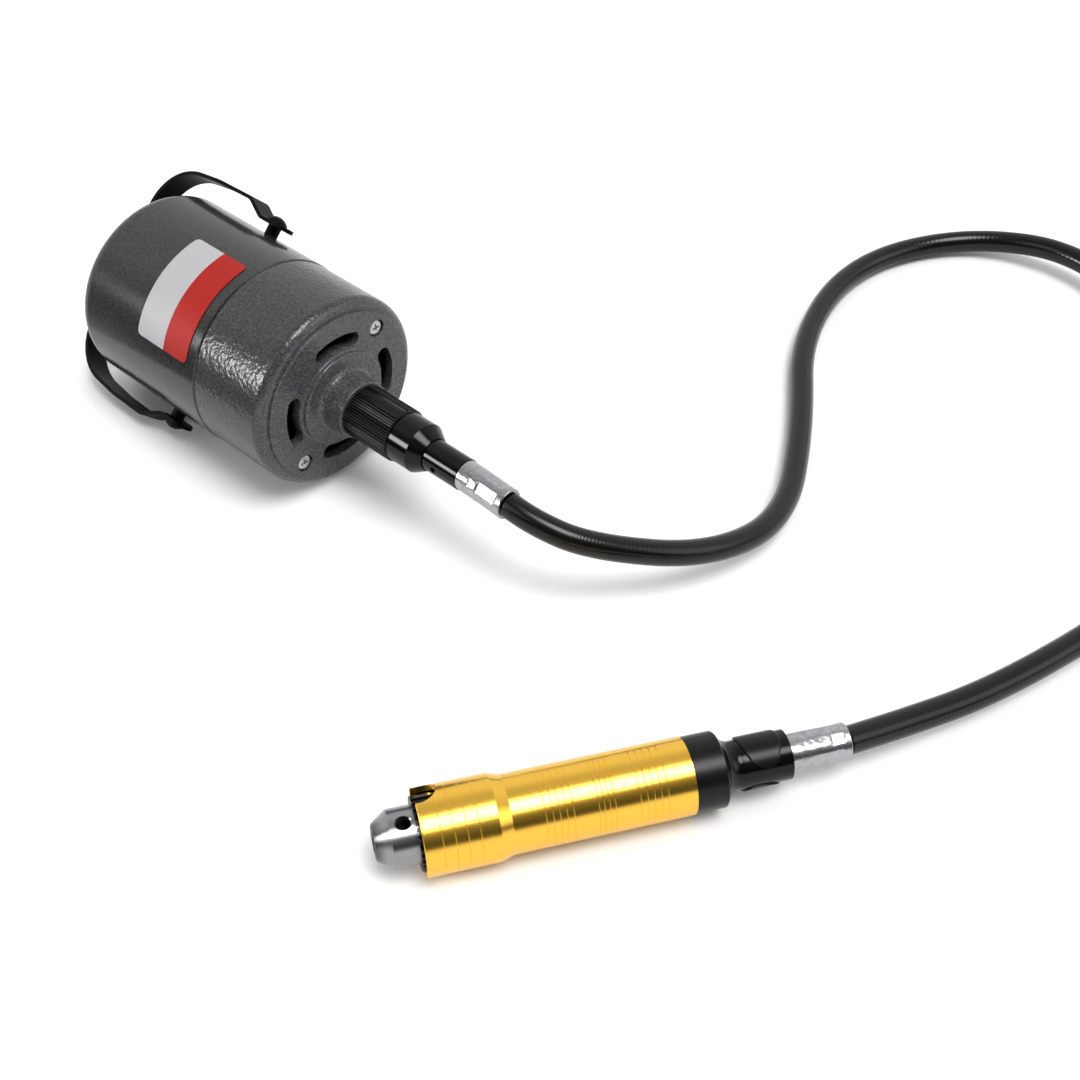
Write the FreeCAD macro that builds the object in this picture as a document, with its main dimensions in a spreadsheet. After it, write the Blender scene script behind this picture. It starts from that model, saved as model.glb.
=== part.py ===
"""Hanging rotary tool: a bell-shaped motor on a swinging bail, a flexible shaft
and a handpiece with a keyed three-jaw chuck.

All lengths are millimetres. The motor lies along +X with its seam over the point
(motor_x, motor_y). Motor pieces are drawn in the motor's own frame: X along the
shaft, zero at the seam between bell and shell, Z up. Handpiece pieces are drawn
in the handpiece's frame: X runs from the nose to the tail, zero near the mouth of
the grip sleeve. An angle of a piece is measured from straight up, towards +Y of
its own frame.
"""
import FreeCAD, Part
import math
import os
import re
import Sketcher
from FreeCAD import Placement, Rotation, Vector

# Driving dimensions
SIZES = {
    # Places of the motor and the handpiece on the table
    "motor_x": -86.0,
    "motor_y": 41.4,
    "hand_x": 100.9,
    "hand_y": -64.5,
    "hand_yaw": 57.4,
    # Motor casing
    "motor_radius": 38.5,
    "bell_step": 0.3,
    "bell_length": 38.0,
    "shell_length": 40.0,
    "cover_length": 31.0,
    "bell_wall": 2.2,
    "shell_wall": 2.2,
    "cover_wall": 2.5,
    "face_wall": 4.0,
    "back_wall": 3.0,
    "bell_round": 4.2,
    "rim_inset": 4.7,
    "rim_height": 1.4,
    "rim_edge": 0.4,
    "cover_round": 6.5,
    "seam_bevel": 0.5,
    "lip_gap": 0.1,
    "lip_wall": 2.0,
    "lip_length": 3.0,
    "lip_root": 4.0,
    # Hub, boss and vents
    "boss_radius": 18.9,
    "boss_height": 2.2,
    "boss_round": 0.8,
    "hub_radius": 11.9,
    "hub_tip_radius": 11.35,
    "hub_length": 12.3,
    "hub_fillet": 2.0,
    "hub_rim": 0.5,
    "vent_inner": 20.4,
    "vent_outer": 26.2,
    "vent_sweep": 38.0,
    "vent_turn": 2.0,
    "vent_count": 4,
    "seat_wall": 2.5,
    "seat_depth": 3.8,
    # Long screws through the casing
    "screw_inset": 10.0,
    "screw_turn": 45.0,
    "screw_radius": 1.9,
    "screw_head_radius": 3.2,
    "screw_head_height": 1.7,
    "screw_head_bevel": 0.9,
    "screw_gap": 0.3,
    "recess_depth": 2.2,
    "screw_grip": 15.0,
    "post_radius": 4.2,
    "post_length": 20.0,
    # Fits
    "press_gap": 0.02,
    "running_gap": 0.05,
    "side_gap": 0.3,
    # How far a cut runs past a face, and how far fused shapes run into each other
    "overshoot": 1.0,
    "weld": 0.5,
    # Stator and field coils
    "stack_front": 6.0,
    "stack_rear": 3.5,
    "yoke_wall": 5.2,
    "pole_turn": 135.0,
    "pole_neck_sweep": 44.0,
    "pole_shoe_sweep": 124.0,
    "pole_shoe_wall": 3.8,
    "air_gap": 0.5,
    "coil_sweep": 78.0,
    "coil_overhang": 8.0,
    "coil_gap": 0.3,
    "coil_play_sweep": 2.0,
    # Armature
    "stator_depth": 18.5,
    "slot_count": 12,
    "slot_mouth_sweep": 5.0,
    "slot_sweep": 14.0,
    "slot_play_sweep": 0.5,
    "slot_depth": 9.0,
    "tooth_tip": 2.4,
    "winding_overhang": 8.0,
    "winding_depth": 9.6,
    "shaft_radius": 4.0,
    "journal_radius": 3.0,
    "shaft_reach": 4.7,
    "commutator_radius": 11.0,
    "commutator_length": 11.0,
    "commutator_inset": 11.0,
    "commutator_slits": 12,
    "riser_width": 1.5,
    "riser_height": 1.2,
    "slit_sweep": 3.0,
    "slit_depth": 0.8,
    # Bearings of the motor
    "bearing_radius": 9.5,
    "bearing_width": 6.0,
    "rear_bearing_inset": 3.6,
    "front_bearing_inset": 1.4,
    "shield_inner": 4.6,
    "shield_outer": 8.2,
    "shield_depth": 0.4,
    # Brush gear
    "plate_inset": 8.5,
    "plate_width": 2.0,
    "plate_inner": 13.5,
    "plate_gap": 2.4,
    "holder_length": 8.4,
    "holder_half": 4.2,
    "holder_wall": 1.0,
    "holder_inner": 12.6,
    "holder_gap": 4.5,
    "brush_outer": 21.5,
    "brush_slide": 0.1,
    "spring_wall": 0.7,
    # Fan
    "fan_back": 7.5,
    "fan_plate": 1.4,
    "fan_gap": 13.0,
    "fan_hub_radius": 8.0,
    "blade_height": 9.0,
    "blade_sweep": 3.2,
    "blade_count": 9,
    # Cord grommet in the rear cover
    "grommet_circle": 19.0,
    "grommet_turn": 135.0,
    "grommet_hole": 4.4,
    "grommet_flange": 6.0,
    "grommet_bore": 3.3,
    "grommet_flange_width": 2.0,
    "grommet_nose": 6.0,
    # Bare label plate
    "label_back": 33.2,
    "label_front": 4.9,
    "label_turn": -37.0,
    "label_sweep": 66.0,
    "label_wall": 0.3,
    "label_glue": 0.1,
    "label_corner": 2.0,
    # Bail and its pivots
    "pivot_inset": 11.0,
    "pivot_turn": 45.0,
    "spacer_radius": 2.7,
    "spacer_height": 3.95,
    "pivot_radius": 2.0,
    "strap_thickness": 1.5,
    "strap_width": 10.4,
    "strap_play": 0.05,
    "head_radius": 4.4,
    "head_height": 2.5,
    "bail_end": 8.0,
    "bail_knee_start": 4.8,
    "bail_knee_end": 13.5,
    "bail_knee_radius": 4.0,
    "bail_rise": 4.5,
    "bail_bow_at": 32.0,
    "bail_bow": 0.4,
    "bail_bow_radius": 32.0,
    "bail_reach": 60.4,
    "bail_back_rise": 0.75,
    "bail_corner_radius": 20.0,
    # Spigot, coupling nut and adaptor
    "spigot_radius": 8.6,
    "spigot_bore": 5.4,
    "spigot_root": 7.3,
    "spigot_reach": 13.7,
    "nut_length": 21.4,
    "nut_radius": 10.4,
    "nut_thread_gap": 0.1,
    "nut_lip": 2.4,
    "nut_flutes": 78,
    "flute_depth": 0.35,
    "flange_width": 2.6,
    "neck_radius": 7.2,
    "band_radius": 9.65,
    "band_length": 10.0,
    "cone_length": 5.0,
    "cone_radius": 6.6,
    "sleeve_radius": 6.1,
    "sleeve_length": 16.0,
    "sleeve_hole_radius": 1.15,
    "sleeve_hole_at": 5.5,
    "sleeve_hole_turn": -92.0,
    "core_bore": 2.6,
    "set_screw_inset": 3.1,
    "set_screw_turn": -48.0,
    "set_screw_radius": 1.5,
    "screw_slot_width": 0.4,
    "screw_slot_depth": 0.5,
    # Drive line of the flexible core
    "core_radius": 1.9,
    "socket_radius": 4.4,
    "socket_grip": 4.0,
    "square_half": 1.5,
    "square_gap": 0.1,
    "tip_square_length": 7.0,
    "tip_inset": 1.0,
    # Flexible sheath and its ferrules
    "sheath_radius": 4.75,
    "motor_ferrule_radius": 5.8,
    "motor_ferrule_length": 21.0,
    "hand_ferrule_radius": 6.2,
    "crimp_depth": 0.5,
    "crimp_length": 6.0,
    "crimp_inset": 6.3,
    "crimp_scoop": 4.0,
    "crimp_count": 6,
    # Chuck body
    "nose_at": -14.7,
    "nose_radius": 5.6,
    "nose_bore": 3.3,
    "nose_depth": 3.0,
    "nose_cone_end": -9.6,
    "chuck_radius": 9.17,
    "shank_bore": 3.1,
    "chuck_back": 14.0,
    "chuck_hub_radius": 5.5,
    "chuck_hub_back": 18.2,
    "groove_front": 1.6,
    "groove_back": 6.6,
    "groove_floor": 5.8,
    "key_hole_at": -5.3,
    "key_hole_turn": -10.0,
    "key_hole_radius": 2.3,
    "key_hole_floor": 4.3,
    "key_hole_bevel": 0.4,
    # Jaws
    "jaw_count": 3,
    "jaw_tilt": 15.0,
    "jaw_radius": 2.0,
    "jaw_bore_gap": 0.06,
    "jaw_excess": 5.0,
    "jaw_start_radius": 1.2,
    "jaw_tip": -13.5,
    "jaw_length": 21.0,
    "jaw_opening": 0.6,
    "jaw_ridge": 0.35,
    # Split nut and toothed ring
    "nut_ring_gap": 0.15,
    "split_nut_outer": 10.4,
    "split_gap": 0.5,
    "ring_face": -0.2,
    "ring_radius": 11.5,
    "ring_gap": 0.1,
    "ring_back": 6.9,
    "tooth_height": 1.5,
    "tooth_count": 30,
    # Grip sleeve
    "sleeve_mouth": -0.9,
    "mouth_radius": 13.75,
    "mouth_bore": 12.0,
    "mouth_depth": 18.4,
    "mouth_end": 22.5,
    "taper_end": 26.5,
    "grip_radius": 12.5,
    "grip_end": 84.2,
    "mouth_edge": 0.4,
    "notch_at": 0.3,
    "notch_turn": 30.0,
    "notch_radius": 6.2,
    "engraving_depth": 0.12,
    "engraving_width": 0.3,
    "mouth_rings_at": 4.9,
    "mouth_rings_pitch": 3.87,
    "mouth_rings_count": 4,
    "front_rings_at": 36.7,
    "front_rings_pitch": 2.15,
    "front_rings_count": 5,
    "middle_rings_at": 53.1,
    "middle_rings_pitch": 1.7,
    "middle_rings_count": 4,
    "rear_rings_at": 66.2,
    "rear_rings_pitch": 2.2,
    "rear_rings_count": 5,
    # Handpiece spindle, bearings and tail
    "spindle_radius": 4.0,
    "spindle_front": 10.0,
    "spindle_back": 88.0,
    "hand_bearing_front": 18.6,
    "hand_bearing_rear": 72.0,
    "tail_ring_radius": 12.2,
    "tail_ring_back": 94.9,
    "tail_plug_front": 79.0,
    "flare_radius": 11.2,
    "flare_end": 101.5,
    "flare_hollow": 1.4,
    "tail_radius": 8.05,
    "tail_end": 117.3,
    "leaf_front": 101.8,
    "leaf_back": 115.0,
    "leaf_wall": 0.6,
    "leaf_sweep": 110.0,
    "hand_ferrule_end": 137.8,
    # Straight lengths of the sheath at its ferrules
    "sheath_lead_motor": 24.0,
    "sheath_lead_hand": 21.0,
}

# Sheath route between its two ferrules, chosen by hand, on the table's frame
CORD_POINTS = (
    (85.5, 50.9, 34.0),
    (103.5, 70.4, 27.0),
    (111.0, 97.4, 19.0),
    (107.0, 128.4, 11.0),
    (89.0, 160.4, 6.0),
    (63.0, 197.4, 4.9),
    (30.0, 237.4, 4.9),
    (20.0, 283.4, 4.9),
    (32.0, 325.4, 5.0),
    (64.0, 348.4, 9.0),
    (104.0, 347.4, 11.0),
    (148.0, 331.4, 8.0),
    (186.0, 299.4, 5.0),
    (212.0, 253.4, 5.0),
    (220.0, 201.4, 6.0),
    (211.0, 153.4, 9.0),
    (197.0, 107.4, 9.5),
)
CORD_ARC_SHARE = 0.45

# How near a found edge must lie to the place asked for
CLOSE = 0.01

# Stations along the motor that several pieces share, as sums of dimensions
REAR_FACE = "-shell_length - cover_length"
REAR_FLOOR = REAR_FACE + " + back_wall"
REAR_SEAT = REAR_FACE + " + rear_bearing_inset"
PLATE_BACK = REAR_FACE + " + plate_inset"
COMMUTATOR_BACK = REAR_FACE + " + commutator_inset"
PIVOT_AT = "pivot_inset - shell_length"
STACK_BACK = "stack_rear - shell_length"
STACK_FRONT = "-stack_front"
FRONT_SEAT = "bell_length - front_bearing_inset"
HUB_TIP = "bell_length + hub_length"
SHAFT_FRONT = HUB_TIP + " + shaft_reach"
NUT_BACK = HUB_TIP + " + side_gap"
NUT_FRONT = NUT_BACK + " + nut_length"
BAND_FRONT = NUT_FRONT + " + band_length"
CONE_FRONT = BAND_FRONT + " + cone_length"
SLEEVE_FRONT = CONE_FRONT + " + sleeve_length"
MOTOR_FERRULE_FRONT = SLEEVE_FRONT + " + motor_ferrule_length"

# Radii of the motor that several pieces share
SCREW_CIRCLE = "motor_radius - screw_inset"
YOKE_OUTER = "motor_radius - shell_wall - side_gap"
YOKE_INNER = YOKE_OUTER + " - yoke_wall"
ARMATURE_RADIUS = "motor_radius - stator_depth"
SLOT_ROOF = ARMATURE_RADIUS + " - tooth_tip"
SLOT_FLOOR = ARMATURE_RADIUS + " - slot_depth"
SHOE_INNER = ARMATURE_RADIUS + " + air_gap"
SHOE_OUTER = SHOE_INNER + " + pole_shoe_wall"
FAN_RADIUS = "motor_radius - fan_gap"
SPACER_TOP = "motor_radius + spacer_height"

# Each frame's place on the table: X, Y, the height of its axis, and its turn
FRAMES = {
    "motor": ("motor_x", "motor_y", "motor_radius", "0"),
    "hand": ("hand_x", "hand_y", "mouth_radius", "hand_yaw"),
}

document = FreeCAD.newDocument("flex_shaft_tool")
sheet = document.addObject("Spreadsheet::Sheet", "sizes")
for row, (alias, number) in enumerate(SIZES.items(), 1):
    sheet.set("A%d" % row, alias.replace("_", " "))
    sheet.set("B%d" % row, str(number))
    sheet.setAlias("B%d" % row, alias)
document.recompute()
pieces = []


def size(alias):
    """A driving dimension as a number."""
    return float(sheet.get(alias))


def total(text):
    """The value of a sum of dimensions, such as "bell_length - face_wall"."""
    terms = re.findall(r"(-?)\s*([a-z_]+)", text)
    return sum(-size(alias) if sign else size(alias) for sign, alias in terms)


def bound(text):
    """The text of an expression, with each dimension's name read from the sheet."""
    def named(word):
        return "sizes." + word.group() if word.group() in SIZES else word.group()

    return re.sub(r"[a-z_]\w*", named, text)


def place(piece, frame):
    """Puts a piece in the frame of the motor or of the handpiece."""
    piece.Placement = Placement(Vector(), Rotation(Vector(0, 0, 1), 1))
    x, y, height, yaw = FRAMES[frame]
    for axis, alias in zip("xyz", (x, y, height)):
        piece.setExpression("Placement.Base." + axis, bound(alias))
    piece.setExpression("Placement.Rotation.Angle", bound(yaw))
    pieces.append(piece)
    return piece


def motor_body(label):
    return place(document.addObject("PartDesign::Body", label), "motor")


def hand_body(label):
    return place(document.addObject("PartDesign::Body", label), "hand")


def shaped(label, shape, frame):
    """A piece whose shape is made with Part's functions, in its assembly's frame."""
    piece = document.addObject("Part::Feature", label)
    piece.Shape = shape
    return place(piece, frame)


def outline(body, corners, turn="90", axis_at=None):
    """A closed outline of straight sides in the plane through X, turned about X.

    A corner is a pair of expressions: station along X, and distance from the axis.
    axis_at gives the distance of an axis line of its own, parallel to X.
    """
    sketch = body.newObject("Sketcher::SketchObject", body.Label + "_outline")
    plane = next(item for item in body.Origin.OriginFeatures if item.Role == "XY_Plane")
    sketch.AttachmentSupport = [(plane, "")]
    sketch.MapMode = "FlatFace"
    sketch.AttachmentOffset = Placement(Vector(), Rotation(Vector(1, 0, 0), 1))
    sketch.setExpression("AttachmentOffset.Rotation.Angle", bound("90 - (%s)" % turn))
    count = len(corners)
    angles = [2 * math.pi * i / count for i in range(count)]
    start = [Vector(math.cos(angle), math.sin(angle), 0) for angle in angles]
    for i in range(count):
        sketch.addGeometry(Part.LineSegment(start[i], start[(i + 1) % count]), False)
    for i in range(count):
        sketch.addConstraint(Sketcher.Constraint("Coincident", i, 2, (i + 1) % count, 1))
    for i, (station, distance) in enumerate(corners):
        fix(sketch, "DistanceX", i, 1, station)
        fix(sketch, "DistanceY", i, 1, distance)
    if axis_at:
        line = sketch.addGeometry(Part.LineSegment(Vector(0, 1, 0), Vector(1, 1, 0)), True)
        for end, station in ((1, "0"), (2, "overshoot")):
            fix(sketch, "DistanceX", line, end, station)
            fix(sketch, "DistanceY", line, end, axis_at)
    return sketch


def fix(sketch, kind, line, end, text):
    """Holds one end of a line at a bound distance from the sketch's origin."""
    number = sketch.addConstraint(Sketcher.Constraint(kind, -1, 1, line, end, 1.0))
    sketch.setExpression("Constraints[%d]" % number, bound(text))


def turned(body, corners, turn="90", sweep="360", cut=False, axis_at=None):
    """Adds or cuts an outline turned about X, or about its own axis line."""
    sketch = outline(body, corners, turn, axis_at)
    kind = "PartDesign::Groove" if cut else "PartDesign::Revolution"
    feature = body.newObject(kind, body.Label + ("_cut" if cut else "_turned"))
    feature.Profile = sketch
    feature.ReferenceAxis = (sketch, ["Axis0" if axis_at else "H_Axis"])
    feature.Angle = 360
    feature.setExpression("Angle", bound(sweep))
    feature.Midplane = sweep != "360"
    return feature


def block(x_low, x_high, low, high):
    """The four corners of a straight-sided ring section."""
    return [(x_low, low), (x_high, low), (x_high, high), (x_low, high)]


def behind(station):
    """Just behind a station, where a cut starts."""
    return station + " - overshoot"


def ahead_of(station):
    """Just ahead of a station, where a cut ends."""
    return station + " + overshoot"


def around(body, features, count):
    """Repeats features about X, evenly spaced over a full turn."""
    pattern = body.newObject("PartDesign::PolarPattern", body.Label + "_around")
    pattern.Originals = features
    pattern.Axis = (features[-1].Profile[0], ["H_Axis"])
    pattern.Angle = 360
    pattern.Occurrences = 2
    pattern.setExpression("Occurrences", bound(count))
    body.Tip = pattern
    return pattern


def soften(body, kind, amount, rims):
    """Fillets or bevels the round edges found at (station, radius)."""
    document.recompute()
    base = body.Tip
    names = []
    for number, edge in enumerate(base.Shape.Edges, 1):
        if edge.Curve.TypeId != "Part::GeomCircle":
            continue
        for station, radius in rims:
            near = abs(edge.Curve.Radius - radius) < CLOSE and abs(edge.Curve.Center.x - station) < CLOSE
            if near and abs(abs(edge.Curve.Axis.x) - 1) < CLOSE:
                names.append("Edge%d" % number)
    feature = body.newObject("PartDesign::" + kind, body.Label + "_" + kind.lower())
    feature.Base = (base, names)
    setting = "Radius" if kind == "Fillet" else "Size"
    feature.setExpression(setting, bound(amount))
    body.Tip = feature
    return feature


def radial_hole(body, station, turn, radius, start, end):
    """A round hole square to X, at an angle from up, from one distance to another."""
    facing = Rotation(Vector(1, 0, 0), -turn)
    sketch = body.newObject("Sketcher::SketchObject", body.Label + "_hole_sketch")
    plane = next(item for item in body.Origin.OriginFeatures if item.Role == "XY_Plane")
    sketch.AttachmentSupport = [(plane, "")]
    sketch.MapMode = "FlatFace"
    sketch.AttachmentOffset = Placement(facing.multVec(Vector(0, 0, start)), facing)
    sketch.addGeometry(Part.Circle(Vector(1, 0, 0), Vector(0, 0, 1), 1), False)
    fix(sketch, "DistanceX", 0, 3, station)
    fix(sketch, "DistanceY", 0, 3, "0")
    number = sketch.addConstraint(Sketcher.Constraint("Radius", 0, 1.0))
    sketch.setExpression("Constraints[%d]" % number, bound(radius))
    hole = body.newObject("PartDesign::Pocket", body.Label + "_hole")
    hole.Profile = sketch
    hole.Length = end - start
    hole.Reversed = True
    return hole


def turn_about_x(shape, angle):
    """A copy of a shape turned about X by an angle from up."""
    copy = shape.copy()
    copy.transformShape(Placement(Vector(), Rotation(Vector(1, 0, 0), -angle)).toMatrix(), True)
    return copy


def rounded_segments(points, radii):
    """Straight runs and tangent arcs through a row of points.

    Gives (start, end) pairs for runs and (start, middle, end) for arcs.
    """
    segments = []
    last = points[0]
    for before, corner, after, radius in zip(points, points[1:], points[2:], radii):
        to_before = (before - corner).normalize()
        to_after = (after - corner).normalize()
        half = to_before.getAngle(to_after) / 2
        reach = radius / math.tan(half)
        inward = (to_before + to_after).normalize()
        arc_start = corner + to_before * reach
        arc_end = corner + to_after * reach
        middle = corner + inward * (radius / math.sin(half) - radius)
        segments.append((last, arc_start))
        segments.append((arc_start, middle, arc_end))
        last = arc_end
    segments.append((last, points[-1]))
    return segments


def wire_of(segments):
    edges = []
    for segment in segments:
        if len(segment) == 2:
            edges.append(Part.LineSegment(*segment).toShape())
        else:
            edges.append(Part.Arc(*segment).toShape())
    return Part.Wire(edges)


def vents(body, x_low, x_high):
    """Arc slots with round ends through an end wall."""
    section = block(x_low, x_high, "vent_inner", "vent_outer")
    slot = turned(body, section, "vent_turn", "vent_sweep", cut=True)
    middle = "(vent_inner + vent_outer) / 2"
    cuts = [slot]
    for turn in ("vent_turn - vent_sweep / 2", "vent_turn + vent_sweep / 2"):
        cuts.append(turned(body, block(x_low, x_high, middle, "vent_outer"), turn, cut=True, axis_at=middle))
    return around(body, cuts, "vent_count")


# Motor casing
def make_front_end_bell():
    body = motor_body("front_end_bell")
    outer = "motor_radius - bell_step"
    inner = "motor_radius - bell_step - bell_wall"
    lip = "motor_radius - shell_wall - lip_gap"
    seat = "bearing_radius + press_gap"
    face_back = "bell_length - face_wall"
    rim = "motor_radius - rim_inset"
    turned(body, [
        ("0", outer),
        ("bell_length - rim_height", outer),
        ("bell_length - rim_height", rim),
        ("bell_length", rim),
        ("bell_length", "boss_radius"),
        ("bell_length + boss_height", "boss_radius"),
        ("bell_length + boss_height", "hub_radius"),
        (HUB_TIP, "hub_tip_radius"),
        (HUB_TIP, "spigot_radius + press_gap"),
        (FRONT_SEAT + " + bearing_width", "spigot_radius + press_gap"),
        (FRONT_SEAT + " + bearing_width", seat),
        (face_back + " - seat_depth", seat),
        (face_back + " - seat_depth", seat + " + seat_wall"),
        (face_back, seat + " + seat_wall"),
        (face_back, inner),
        ("lip_root", inner),
        ("lip_root", lip + " - lip_wall"),
        ("-lip_length", lip + " - lip_wall"),
        ("-lip_length", lip),
        ("0", lip),
    ])
    bell = size("bell_length")
    boss_top = bell + size("boss_height")
    shoulder = total("bell_length - rim_height")
    soften(body, "Fillet", "bell_round", [(shoulder, total(outer))])
    soften(body, "Fillet", "rim_edge", [(bell, total(rim))])
    soften(body, "Fillet", "boss_round", [(bell, size("boss_radius")), (boss_top, size("boss_radius"))])
    soften(body, "Fillet", "hub_fillet", [(boss_top, size("hub_radius"))])
    soften(body, "Fillet", "hub_rim", [(total(HUB_TIP), size("hub_tip_radius"))])
    soften(body, "Chamfer", "seam_bevel", [(0, total(outer))])
    vents(body, behind(face_back), ahead_of("bell_length"))
    recess_radius = SCREW_CIRCLE + " + screw_head_radius + screw_gap"
    hole_radius = SCREW_CIRCLE + " + screw_radius + press_gap"
    recess = turned(body, [
        (ahead_of("bell_length"), SCREW_CIRCLE),
        (ahead_of("bell_length"), recess_radius),
        ("bell_length - recess_depth", recess_radius),
        ("bell_length - recess_depth", hole_radius),
        (behind(face_back), hole_radius),
        (behind(face_back), SCREW_CIRCLE),
    ], "screw_turn", cut=True, axis_at=SCREW_CIRCLE)
    around(body, [recess], "2")
    radial_hole(body, HUB_TIP + " - set_screw_inset", size("set_screw_turn"), "set_screw_radius + press_gap",
                size("spigot_bore"), size("hub_radius") + size("overshoot"))


def make_motor_shell():
    body = motor_body("motor_shell")
    turned(body, block("-shell_length", "0", "motor_radius - shell_wall", "motor_radius"))
    outer = size("motor_radius")
    soften(body, "Chamfer", "seam_bevel", [(0, outer)])
    for turn in (size("pivot_turn"), size("pivot_turn") + 180):
        radial_hole(body, PIVOT_AT, turn, "pivot_radius + press_gap",
                    outer - size("shell_wall") - size("overshoot"), outer + size("overshoot"))


def make_rear_cover():
    body = motor_body("rear_cover")
    back = REAR_FACE
    floor = REAR_FLOOR
    lip = "motor_radius - shell_wall - lip_gap"
    inner = "motor_radius - cover_wall"
    seat = "bearing_radius + press_gap"
    turned(body, [
        (back, "0"),
        (back, "motor_radius"),
        ("-shell_length", "motor_radius"),
        ("-shell_length", lip),
        ("lip_length - shell_length", lip),
        ("lip_length - shell_length", lip + " - lip_wall"),
        ("-shell_length - lip_root", lip + " - lip_wall"),
        ("-shell_length - lip_root", inner),
        (floor, inner),
        (floor, seat + " + seat_wall"),
        (REAR_SEAT + " + bearing_width", seat + " + seat_wall"),
        (REAR_SEAT + " + bearing_width", seat),
        (REAR_SEAT, seat),
        (REAR_SEAT, "0"),
    ])
    soften(body, "Fillet", "cover_round", [(total(REAR_FACE), size("motor_radius"))])
    inside = SCREW_CIRCLE + " + screw_radius + press_gap"
    outside = SCREW_CIRCLE + " + post_radius"
    post_wall = block(floor + " - weld", floor + " + post_length", inside, outside)
    post = turned(body, post_wall, "screw_turn", axis_at=SCREW_CIRCLE)
    around(body, [post], "2")
    vents(body, behind(back), ahead_of(floor))
    turned(body, block(behind(back), ahead_of(floor), "grommet_circle", "grommet_circle + grommet_hole"),
           "grommet_turn", cut=True, axis_at="grommet_circle")


def make_cord_grommet():
    body = motor_body("cord_grommet")
    back = REAR_FACE + " - press_gap"
    floor = REAR_FLOOR + " + press_gap"
    bore = "grommet_circle + grommet_bore"
    flange = "grommet_circle + grommet_flange"
    step = flange + " - seam_bevel"
    neck = "grommet_circle + grommet_hole - press_gap"
    turned(body, [
        (back + " - grommet_flange_width - grommet_nose", bore),
        (back + " - grommet_flange_width - grommet_nose", neck),
        (back + " - grommet_flange_width", step),
        (back, flange),
        (back, neck),
        (floor, neck),
        (floor, step),
        (floor + " + grommet_flange_width", step),
        (floor + " + grommet_flange_width", bore),
    ], "grommet_turn", axis_at="grommet_circle")


def make_label_plate():
    body = motor_body("label_plate")
    inner = "motor_radius + label_glue"
    section = block("-label_back", "-label_front", inner, inner + " + label_wall")
    turned(body, section, "label_turn", "label_sweep")
    document.recompute()
    plate = body.Tip
    corners = []
    for number, edge in enumerate(plate.Shape.Edges, 1):
        if edge.Curve.TypeId == "Part::GeomLine" and abs(edge.Length - size("label_wall")) < CLOSE:
            corners.append("Edge%d" % number)
    rounding = body.newObject("PartDesign::Fillet", "label_plate_corners")
    rounding.Base = (plate, corners)
    rounding.setExpression("Radius", bound("label_corner"))
    body.Tip = rounding


def make_bell_screws():
    body = motor_body("bell_screws")
    seat = "bell_length - recess_depth + press_gap"
    end = "-shell_length - screw_grip"
    head = seat + " + screw_head_height"
    screw = turned(body, [
        (end, SCREW_CIRCLE),
        (end, SCREW_CIRCLE + " + screw_radius"),
        (seat, SCREW_CIRCLE + " + screw_radius"),
        (seat, SCREW_CIRCLE + " + screw_head_radius"),
        (head + " - screw_head_bevel", SCREW_CIRCLE + " + screw_head_radius"),
        (head, SCREW_CIRCLE + " + screw_head_radius - screw_head_bevel"),
        (head, SCREW_CIRCLE),
    ], "screw_turn", axis_at=SCREW_CIRCLE)
    around(body, [screw], "2")


# Stator, armature and brush gear
def make_stator_core():
    body = motor_body("stator_core")
    turned(body, block(STACK_BACK, STACK_FRONT, YOKE_INNER, YOKE_OUTER))
    neck_section = block(STACK_BACK, STACK_FRONT, SHOE_OUTER + " - weld", YOKE_INNER + " + weld")
    neck = turned(body, neck_section, "pole_turn", "pole_neck_sweep")
    shoe_section = block(STACK_BACK, STACK_FRONT, SHOE_INNER, SHOE_OUTER)
    shoe = turned(body, shoe_section, "pole_turn", "pole_shoe_sweep")
    around(body, [neck, shoe], "2")


def make_field_coils():
    body = motor_body("field_coils")
    ring_section = block(STACK_BACK + " - coil_overhang", STACK_FRONT + " + coil_overhang",
                         SHOE_OUTER + " + coil_gap", YOKE_INNER + " - coil_gap")
    ring = turned(body, ring_section, "pole_turn", "coil_sweep")
    window_section = block(STACK_BACK + " - coil_gap", STACK_FRONT + " + coil_gap", SHOE_OUTER, YOKE_INNER)
    window = turned(body, window_section, "pole_turn", "pole_neck_sweep + coil_play_sweep", cut=True)
    around(body, [ring, window], "2")


def make_armature_shaft():
    body = motor_body("armature_shaft")
    back = REAR_SEAT + " + side_gap"
    turned(body, [
        (back, "0"),
        (back, "journal_radius"),
        (back + " + bearing_width", "journal_radius"),
        (back + " + bearing_width", "shaft_radius"),
        (FRONT_SEAT + " - side_gap", "shaft_radius"),
        (FRONT_SEAT + " - side_gap", "journal_radius"),
        (SHAFT_FRONT, "journal_radius"),
        (SHAFT_FRONT, "0"),
    ])


def make_armature_core():
    body = motor_body("armature_core")
    turned(body, block(STACK_BACK, STACK_FRONT, "shaft_radius + press_gap", ARMATURE_RADIUS))
    mouth = turned(body, block(behind(STACK_BACK), ahead_of(STACK_FRONT), SLOT_ROOF + " - weld",
                               ARMATURE_RADIUS + " + overshoot"), "0", "slot_mouth_sweep", cut=True)
    slot = turned(body, block(behind(STACK_BACK), ahead_of(STACK_FRONT), SLOT_FLOOR, SLOT_ROOF),
                  "0", "slot_sweep", cut=True)
    around(body, [mouth, slot], "slot_count")


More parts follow.
